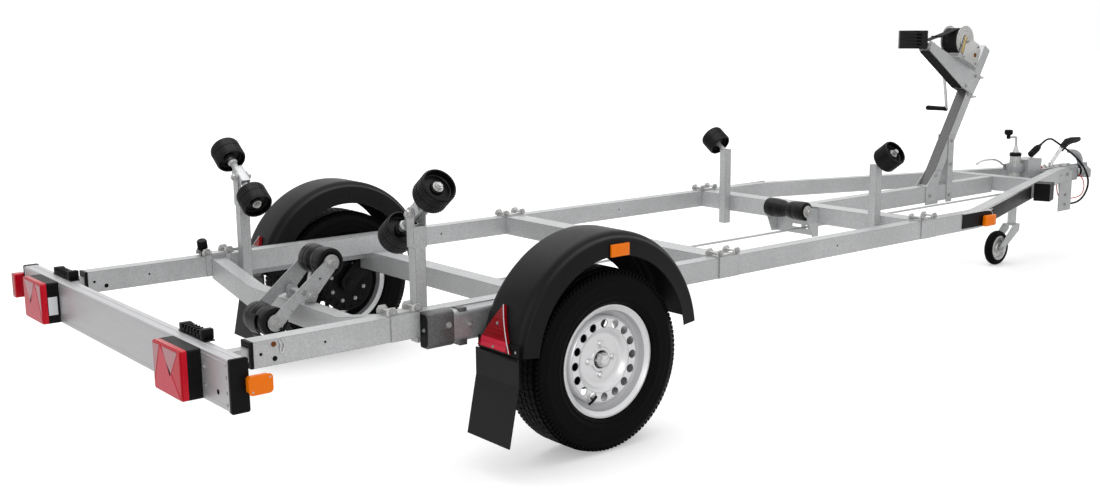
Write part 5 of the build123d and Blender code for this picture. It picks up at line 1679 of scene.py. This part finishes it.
# %% Saddle ears and their bolts
rail_top = 540.2
rail_outer = 714.1
rail_inner = 653.9
ear_shape = [(-20, 0), (20, 0), (20, 13.8), (12, 24.8), (-12, 24.8), (-20, 13.8)]
bm = bmesh.new()
spots = []
for x in (-650, 834, 2145):
    for ear_x in (x - 47, x + 47):
        ear = [(ear_x + a, rail_top + b) for a, b in ear_shape]
        for y in (712, 656):
            plate(bm, ear, y - 2, y + 2, "XZ", 0.5)
            plate(bm, ear, -y - 2, -y + 2, "XZ", 0.5)
        spots.append(((ear_x, rail_outer, 552), (0, 1, 0), 8.5))
        spots.append(((ear_x, rail_inner, 552), (0, -1, 0), 8.5))
    for side in (1, -1):
        side_block(bm, side, (x - 26, 658, rail_top), (x + 26, 710, 544), 0.8)
add_piece("saddle_ears", bm, zinc_plated, "chassis")
bm = bmesh.new()
for x, y, z in [spot for spot, facing, size in spots if facing[1] > 0]:
    for side in (1, -1):
        rod(bm, [(x, side * 654, z), (x, side * 714, z)], 4.2, smooth=False)
add_piece("saddle_bolt_shanks", bm, zinc_plated, "chassis")
bolts("saddle_bolts", spots + mirror_points(spots), zinc_plated, "chassis", Stud=0.5)

# %% [markdown]
# The side brackets of the axle end in a dull sheet cover with a bolt through it, and a narrow strap
# stands beside it. The cover is one outline seen from behind, drawn out along the rail with rounded
# edges, a little larger than the bracket inside.

# %% Covers of the side brackets
cover = [(714.6, 420), (752, 420), (760, 426), (763, 436), (763, 522), (760, 532), (752, 538), (714.6, 538)]
for side, tag in both_sides:
    bm = bmesh.new()
    section = [(side * y, z) for y, z in cover]
    plate(bm, section, -594.2, -494, "YZ", 3.0)
    side_block(bm, side, (-470, 714.4, 412), (-440, 756, 536), 1.5)
    add_piece("bracket_boot" + tag, bm, dark_zinc_and_painted_shade, "chassis")
    spots = [((-517, side * 763.1, 490), (0, side, 0), 8.0), ((-594.4, side * 738, 480), (-1, 0, 0), 5.0)]
    for x in (-430, 150, 200):
        spots.append(((x, side * 758.4, 478), (0, side, 0), 8.0))
    bolts("bracket_bolts" + tag, spots, zinc_plated, "chassis", Stud=0.4)

# %% [markdown]
# The rails have a few holes along both faces. Their rear ends hold the tubes of the light board with
# a lock bolt, which rusts first, a spring clip and a black knob on top.

# %% Holes, lock bolts, clips and knob of the rails
rust = plastic_finish("rusty_thread", (0.16, 0.055, 0.015), (0.35, 0.16, 0.05), 0.8, 500.0, 0.5, 0.0)
spots = []
for side in (-1, 1):
    for x, z, size in (
        (-1147, 495, 5), (-1103, 475, 8), (-935, 497, 4), (-250, 500, 4), (420, 498, 4), (1500, 498, 4)
    ):
        spots.append(((x, side * rail_outer, z), (0, side, 0), size))
        spots.append(((x, side * rail_inner, z), (0, -side, 0), size))
holes("rail_holes", spots, "chassis")
spots = [((-1105, side * 714.2, 519), (0, side, 0), 6.0) for side in (-1, 1)]
bolts("rail_lock_bolts", spots, rust, "chassis", Stud=0.6)
bm = bmesh.new()
for side in (-1, 1):
    clip = [(-1082, 532), (-1070, 520), (-1074, 500), (-1080, 486), (-1088, 500), (-1082, 515), (-1090, 530)]
    rod(bm, [(x, side * 717.4, z) for x, z in clip], 1.8)
add_piece("rail_clips", bm, polished_steel, "chassis")
knob_place = (-700, 684, 561)
knob_axis = (-0.2, -0.25, 1)
bm = bmesh.new()
turned(bm, [(0, 0), (9, 0), (9, 26), (0, 26)], (-700, 684, 535.2), upright, 16)
turned(bm, [(0, 0), (15, 0), (17, 3), (19, 34), (17, 40), (0, 40)], knob_place, knob_axis, 28)
ring(bm, knob_place, knob_axis, 12, 18.4, 20, (3, 4, 32))
add_piece("rail_knob", bm, black_plastic, "chassis")

# %% [markdown]
# Black sheets cover the outer faces of the drawn-in rails, left bare here, with a strip of bright
# metal above them. They follow the rails' slant, so they are drawn straight and swung round.

# %% Drawbar panels
bend_x, bend_y = 2570, 684
nose_x, nose_y = 4337, 92
slant = math.atan2(bend_y - nose_y, nose_x - bend_x)
for side, tag in both_sides:
    start = 2576
    origin = (start, side * (bend_y - (start - bend_x) * math.tan(slant)), 0)
    for label, finish, slot, low, high, out in (
        ("drawbar_panel", black_moulding, "black_plastic", 459, 526, 32.6),
        ("panel_strip", polished_steel, "galvanised", 527.5, 533, 31.6),
    ):
        bm = bmesh.new()
        y0, y1 = sorted((origin[1] + side * 30.2, origin[1] + side * out))
        length = 1000 / math.cos(slant) if side < 0 else 1450
        block(bm, (start, y0, low), (start + length, y1, high), 0.6)
        lean(bm, origin, -side * slant, "Z")
        add_piece(label + tag, bm, finish, "chassis")

# %% [markdown]
# Where the rails bend inwards, a flag plate with a bright trim carries an orange lamp. The oblong on
# the fender's outer skirt is of the same orange, so both are one piece: blocks with rows of ribs.

# %% Flag trims and orange lenses
bm = bmesh.new()
for side in (-1, 1):
    side_block(bm, side, (2415, 714.2, 533), (2660, 719.6, 536.4), 0.6)
    rod(bm, [(x, side * 718.6, z) for x, z in ((2600, 534), (2640, 532), (2656, 522), (2660, 500))], 2.0)
add_piece("flag_trims", bm, polished_steel, "chassis")
bm = bmesh.new()
for side in (-1, 1):
    side_block(bm, side, (2574, 719.2, 461), (2658, 742.0, 513), 5.0)
    row(bm, (2596, side * 742.2, 487), 5, (9.5, 0, 0), (3, 1.0, 36))
    side_block(bm, side, (-23, 984.2, 679), (57, 992.2, 721), 1.5)
    row(bm, (-16, side * 991.7, 700), 12, (6, 0, 0), (2.4, 0.8, 36))
add_piece("orange_lenses", bm, orange_lens, "chassis", replaced=("flag_lamps",))

# %% [markdown]
# ## Winch and bow stop
#
# The winch drum is pressed steel with raised rings, and 50 mm webbing is wound on it. The free
# end of the strap runs taut to the bow stop. The coil is a lathe outline with a step for each turn
# of the strap, and the free end a thin plate that sags a little.

# %% Winch drum and strap
winch_axle = (3388, 0, 1308)
strap_turns = 12
disc_half = [
    (10, 47), (79, 47), (80, 48.4), (80, 50.6), (77, 52), (73, 51.6), (70, 49.8), (64, 49.8),
    (61, 52.4), (55, 52.4), (52, 49.8), (40, 49.8), (36, 53.4), (24, 53.4), (21, 50.4), (10, 50.4),
]
bm = bmesh.new()
for side in (-1, 1):
    turned(bm, [(r, side * a) for r, a in disc_half], winch_axle, crosswise, 64)
turned(bm, [(10, -47), (30, -47), (30, 47), (10, 47)], winch_axle, crosswise, 40)
add_piece("pressed_winch_drum", bm, zinc_plated, "winch_drum", replaced=("winch_drum",))
bm = bmesh.new()
layers = []
for i in range(strap_turns):
    r = 31 + i * 3.0
    edge = 46.0 - 0.5 * (i % 2)
    layers += [(r, edge), (r + 2.4, edge), (r + 2.6, 45.0)]
turned(bm, both_halves(layers + [(66, 44)]), winch_axle, crosswise, 64)
add_piece("strap_coil", bm, webbing, "winch_drum", replaced=("winch_strap",))
bm = bmesh.new()
under_side = [(3096, 1310.5), (3180, 1328), (3280, 1350), (3374, 1371.6), (3396, 1374.0)]
upper_side = [(3396, 1375.6), (3374, 1374.2), (3280, 1352.4), (3180, 1330.4), (3096, 1313)]
plate(bm, under_side + upper_side, -23, 23, "XZ")
block(bm, (3180, -23.4, 1327), (3214, 23.4, 1337), 1.5)
add_piece("strap_end", bm, webbing, "chassis")

# %% [markdown]
# The winch leans forward on its arm, and a cover of plated sheet stands over its side, with a yellow
# pawl. A small function takes places in the winch's own tilted frame, so that the outlines can be
# drawn level.

# %% Winch cover, pawl and bolts
winch_tilt = math.radians(22)
post_face = 34.4


def on_winch(along, up):
    """A place in the winch's own tilted frame."""
    c, s = math.cos(winch_tilt), math.sin(winch_tilt)
    return (winch_axle[0] + along * c + up * s, winch_axle[2] - along * s + up * c)


def both_faces(places, face, size):
    """Bolt places on the two faces of a member in the middle of the trailer."""
    return [((x, side * face, z), (0, side, 0), size) for x, z in places for side in (-1, 1)]


bm = bmesh.new()
cover = [(6, 20), (106, 20), (126, 12), (136, -6), (140, -94), (132, -100), (0, -100), (-6, -92), (-8, 4)]
plate(bm, [on_winch(a, b) for a, b in cover], -60.3, -64.6, "XZ", 1.6)
add_piece("winch_cover", bm, zinc_plated, "chassis")
bm = bmesh.new()
latch = [(-24, 18), (-10, 20), (-11, -78), (-26, -70)]
plate(bm, [on_winch(a, b) for a, b in latch], -60.3, -65.4, "XZ", 0.8)
add_piece("winch_pawl", bm, yellow_zinc, "chassis")
spots = []
for a, b, size in ((18, 8, 5), (112, 6, 5), (126, -86, 5), (8, -88, 5), (0, 0, 11)):
    x, z = on_winch(a, b)
    spots.append(((x, -64.7, z), (0, -1, 0), size))
spots += both_faces([(3085, 1292)], post_face, 11)
spots += both_faces([(3530, 1112), (3473, 1018), (3440, 1062)], post_face, 8)
bolts("winch_and_arm_bolts", spots, zinc_plated, "chassis", Stud=0.3)
x, z = on_winch(104, -44)
flat_plug = {"Sides": 20, "Head": 0.12, "Washer": 0.1, "Collar": 1.3, "Stud": 0.05, "Bore": 0.5}
bolts("winch_plug", [((x, -64.7, z), (0, -1, 0), 9)], rust, "chassis", **flat_plug)

# %% [markdown]
# A thin pad lies along the underside of the bow stop's arm, tabs stick out from the leaning post, a
# thin dark strip on the post's rear face is painted shade, and the bow stop has five rubber ribs. The
# post's own frame is used for what lies on it, along the post and across it.

# %% Pad, painted shade strip on the post, arm tabs and bow stop ribs
bm = bmesh.new()
pad = [(3094, 1257), (3407, 1054), (3405.2, 1050.9), (3092, 1254)]
plate(bm, pad, -29.6, 29.6, "XZ")
add_piece("arm_pad", bm, tyre_rubber, "chassis")
post_foot = (3170, 517)
along = (0.5336, 0.8457)
across = (-0.8457, 0.5336)


def on_post(s, t):
    """A place on the leaning post: along it from the foot, and out from its middle line."""
    return tuple(foot + s * a + t * b for foot, a, b in zip(post_foot, along, across))


# A dark sheet over the post's rear face: painted shade, where that face lies in shadow.
bm = bmesh.new()
plate(bm, [on_post(s, t) for s, t in ((6, 30.2), (604, 30.2), (604, 31.0), (6, 31.0))], -29.5, 29.5, "XZ")
add_piece("post_shade_strip", bm, dark_zinc_and_painted_shade, "chassis")
bm = bmesh.new()
for s, t in ((712, -34), (592, -34)):
    x, z = on_post(s, t)
    block(bm, (x - 16, -42, z - 6), (x + 22, 42, z + 6), 1.5)
add_piece("arm_tabs", bm, zinc_plated, "chassis")
ribs = bmesh.new()
for i in range(5):
    z = 1284 + 17 * i
    wing = [(2967, z), (2967, z + 7), (2968.5, z + 7), (2968.5, z)]
    plate(ribs, wing, -66, 66, "XZ")
add_piece("bow_stop_ribs", ribs, flap_rubber, "chassis")

# %% [markdown]
# The winch is wound by a bent steel crank with a black grip on its end. The crank is a rod along
# five points and the grip a lathe shape, both on the crank's own body.

# %% Winch crank
crank_axle = (3405, 0, 1235)
grip_axle = (3476, 0, 928)
bm = bmesh.new()
rod(bm, [(3405, 60.5, 1235), (3405, 102, 1235), (3432, 104, 1140), (3476, 103, 930), (3476, 106, 928)], 8.5)
turned(bm, [(0, 60.4), (16, 60.4), (16, 74), (0, 74)], crank_axle, crosswise, 6)
add_piece("bent_crank", bm, polished_steel, "winch_crank", replaced=("winch_crank",))
bm = bmesh.new()
grip = [
    (0, 100), (10, 100), (13, 103), (13.6, 110), (12.2, 130), (12.8, 170), (14, 215), (14, 226),
    (11, 234), (0, 238),
]
turned(bm, grip, grip_axle, crosswise, 28)
add_piece("crank_grip", bm, black_plastic, "winch_crank")

# %% [markdown]
# ## Nose
#
# Seen close, the jockey wheel's leg is a plated tube with a black cap, a bent winding rod and a
# mushroom knob, held in a cast split clamp with a long tommy bar. All that is round about the leg is
# turned about one line. The clamp and its bar belong to the frame, so the leg can slide in them.

# %% Jockey wheel leg
leg_foot = (4040, 0, 0)
bm = bmesh.new()
turned(bm, [(25, 330), (30, 330), (30, 640), (25, 640)], leg_foot, upright, 48)
ring(bm, leg_foot, upright, 14, 30.2, 600, (1.6, 4, 60))
turned(bm, [(0, 647), (18, 648), (16, 660), (9, 684), (8, 690), (0, 690)], leg_foot, upright, 32)
rod(bm, [(4040, 0, 686), (4040, 0, 736), (4027, 0, 741), (3962, 0, 742), (3954, 0, 746)], 7.0)
add_piece("jockey_leg_tube", bm, zinc_plated, "jockey_leg", replaced=("jockey_tube",))
bm = bmesh.new()
cap = [(0, 628), (32.5, 628), (33.5, 631), (33.5, 644), (30, 648), (20, 650), (0, 650)]
knob = [(0, 734), (10, 734), (11, 754), (21, 760), (24, 765), (24, 780), (20, 787), (0, 788)]
turned(bm, cap, leg_foot, upright, 40)
turned(bm, knob, (3954, 0, 0), upright, 32)
add_piece("jockey_cap_and_knob", bm, black_plastic, "jockey_leg")

# %% [markdown]
# The clamp is a casting that is slit along one side. A bolt with a long bar pulls its two lugs
# together and grips the leg. A turned sleeve and four blocks are enough for the casting, and the bar
# is one bent rod with a rounded end, lying back along the drawbar.

# %% Jockey clamp and tommy bar
bm = bmesh.new()
turned(bm, [(30.4, 534), (40, 534), (41, 537), (41, 583), (40, 586), (30.4, 586)], leg_foot, upright, 48)
block(bm, (4040, -29, 536), (4091.5, -33, 584), 1.0)
block(bm, (4040, 29, 536), (4091.5, 33, 584), 1.0)
block(bm, (4018, 34, 542), (4062, 46, 578), 2.0)
block(bm, (4018, 52, 542), (4062, 64, 578), 2.0)
add_piece("jockey_split_clamp", bm, cast_zinc, "chassis", replaced=("jockey_clamp",))
bm = bmesh.new()
rod(bm, [(4040, 30, 560), (4040, 66, 560)], 6.0, smooth=False)
bar = [(4040, 58, 560), (4010, 58, 572), (3960, 58, 600), (3900, 57, 615), (3780, 56, 618), (3742, 56, 604)]
rod(bm, bar, 5.5)
turned(bm, [(0, -2), (7.5, -2), (7.5, 10), (0, 10)], (3742, 56, 604), (-1, 0, -0.4), 16)
add_piece("tommy_bar", bm, polished_steel, "chassis")

# %% [markdown]
# The small wheel has a pressed hub and a solid rubber ring. Two lathe outlines keep them apart, so
# that each has its own finish, and the nuts of its axle stay with the fork.

# %% Jockey wheel
jockey_hub = (3890, 0, 100)
hub_half = [
    (8.4, 20), (24, 20), (27, 16), (29, 8), (54, 8), (57, 12), (60, 19), (64, 22.5), (70, 22.5), (72, 20),
]
rubber_half = [(72.2, 19), (74, 23), (80, 24.8), (88, 23.4), (95, 18), (99, 10), (100, 4)]
bm = bmesh.new()
turned(bm, both_halves(hub_half), jockey_hub, crosswise, 48)
add_piece("jockey_wheel_hub", bm, zinc_plated, "jockey_wheel", replaced=("jockey_wheel",))
bm = bmesh.new()
turned(bm, both_halves(rubber_half), jockey_hub, crosswise, 64)
add_piece("jockey_wheel_tyre", bm, tyre_rubber, "jockey_wheel")
spots = both_faces([(3890, 100)], 36.2, 10)
bolts("jockey_axle_nuts", spots, zinc_plated, "jockey_swivel", Stud=0.3)

# %% [markdown]
# The handbrake is a plated rod with a long plastic grip, and the coupling opens with a curved cast
# lever. The rod is bent along a few points, while grip and lever are flat enough to be plates with
# rounded edges.

# %% Handbrake and coupling lever
bm = bmesh.new()
rod(bm, [(4372, -34, 545), (4380, -34, 562), (4430, -34, 600), (4478, -34, 636), (4490, -34, 646)], 11.0)
turned(bm, [(0, -7), (17, -7), (17, 7), (0, 7)], (4380, -34, 562), crosswise, 24)
block(bm, (4360, -39, 533.2), (4400, -29, 566), 1.5)
add_piece("brake_rod_lever", bm, polished_steel, "chassis", replaced=("handbrake_lever",))
bm = bmesh.new()
top_line = [(4474, 644), (4500, 674), (4540, 698), (4600, 703), (4690, 700), (4699, 690)]
under_line = [(4696, 676), (4650, 668), (4600, 666), (4560, 664), (4522, 648), (4494, 622)]
plate(bm, top_line + under_line, -44, -24, "XZ", 4.0)
add_piece("brake_grip", bm, black_plastic, "chassis")
bm = bmesh.new()
web = [(4556, 676), (4600, 680), (4670, 684), (4664, 678), (4600, 672)]
plate(bm, web, -45.4, -22.6, "XZ", 0.4)
add_piece("brake_grip_web", bm, flap_rubber, "chassis")
bm = bmesh.new()
outer = [(4796, 530), (4790, 560), (4766, 590), (4728, 610), (4690, 620), (4652, 624), (4640, 618)]
inner = [(4640, 606), (4650, 600), (4690, 597), (4722, 588), (4750, 570), (4768, 548), (4774, 530)]
plate(bm, outer + inner, -14.6, 14.6, "XZ", 2.5)
add_piece("coupling_lever", bm, cast_zinc, "chassis", replaced=("coupling_handle",))

# %% [markdown]
# A rubber bellows keeps dirt off the sliding drawbar. Its folds follow a rule, so a loop writes the
# lathe outline, one fold after another.

# %% Bellows
fold_pitch = 12
bm = bmesh.new()
folds = [(20, 0), (36, 0), (40, 3), (40, 8)]
for i in range(6):
    base = 9 + fold_pitch * i
    folds += [
        (34, base), (34.6, base + 1.5), (42, base + 5), (42.6, base + 6.5), (42, base + 8),
        (34.6, base + 10.5),
    ]
folds += [(38, 82), (38, 85), (20, 85)]
turned(bm, folds, (4662.4, 0, 485), (1, 0, 0), 48)
add_piece("folded_bellows", bm, roller_rubber, "chassis", replaced=("draw_bellows",))

# %% [markdown]
# The housing of the overrun brake is bolted through its top, and carries a few hooks below and a red
# grease nipple. One list of places serves both the pads and the bolts that stand on them.

# %% Nose fittings
pad_places = (4262, 4335, 4420, 4500, 4590)
bm = bmesh.new()
for x in pad_places:
    block(bm, (x - 11, -40, 533.2), (x + 11, -18, 537), 1.0)
block(bm, (4246, -52, 533.2), (4440, 52, 536), 0.8)
for x, y in ((4216, -30), (4328, -30), (4216, 30)):
    rod(bm, [(x, y, 437), (x, y, 400), (x + 4, y, 372), (x + 18, y, 366), (x + 24, y, 378)], 5.0)
add_piece("nose_top_fittings", bm, zinc_plated, "chassis")
nose_side = 122.3
spots = [((x, -29, 537.1), upright, 7.5) for x in pad_places]
for x in pad_places[:3]:
    spots.append(((x, 29, 536.1), upright, 7.5))
    spots += both_faces([(x, 500)], nose_side, 8)
for z in (300, 360, 480):
    spots.append(((4520, -61.1, z), (0, -1, 0), 7))
bolts("nose_bolts", spots, zinc_plated, "chassis", Stud=0.35)
nipple = [((4300, -20, 536.1), upright, 6.5)]
bolts("grease_nipple", nipple, cable_red, "chassis", Sides=16, Head=1.2, Stud=0.3)
foot_places = [(3330, 770), (3330, 640), (3330, 470), (3150, 480), (3196, 590)]
bolts("post_foot_bolts", both_faces(foot_places, post_face, 8), zinc_plated, "chassis", Stud=0.4)
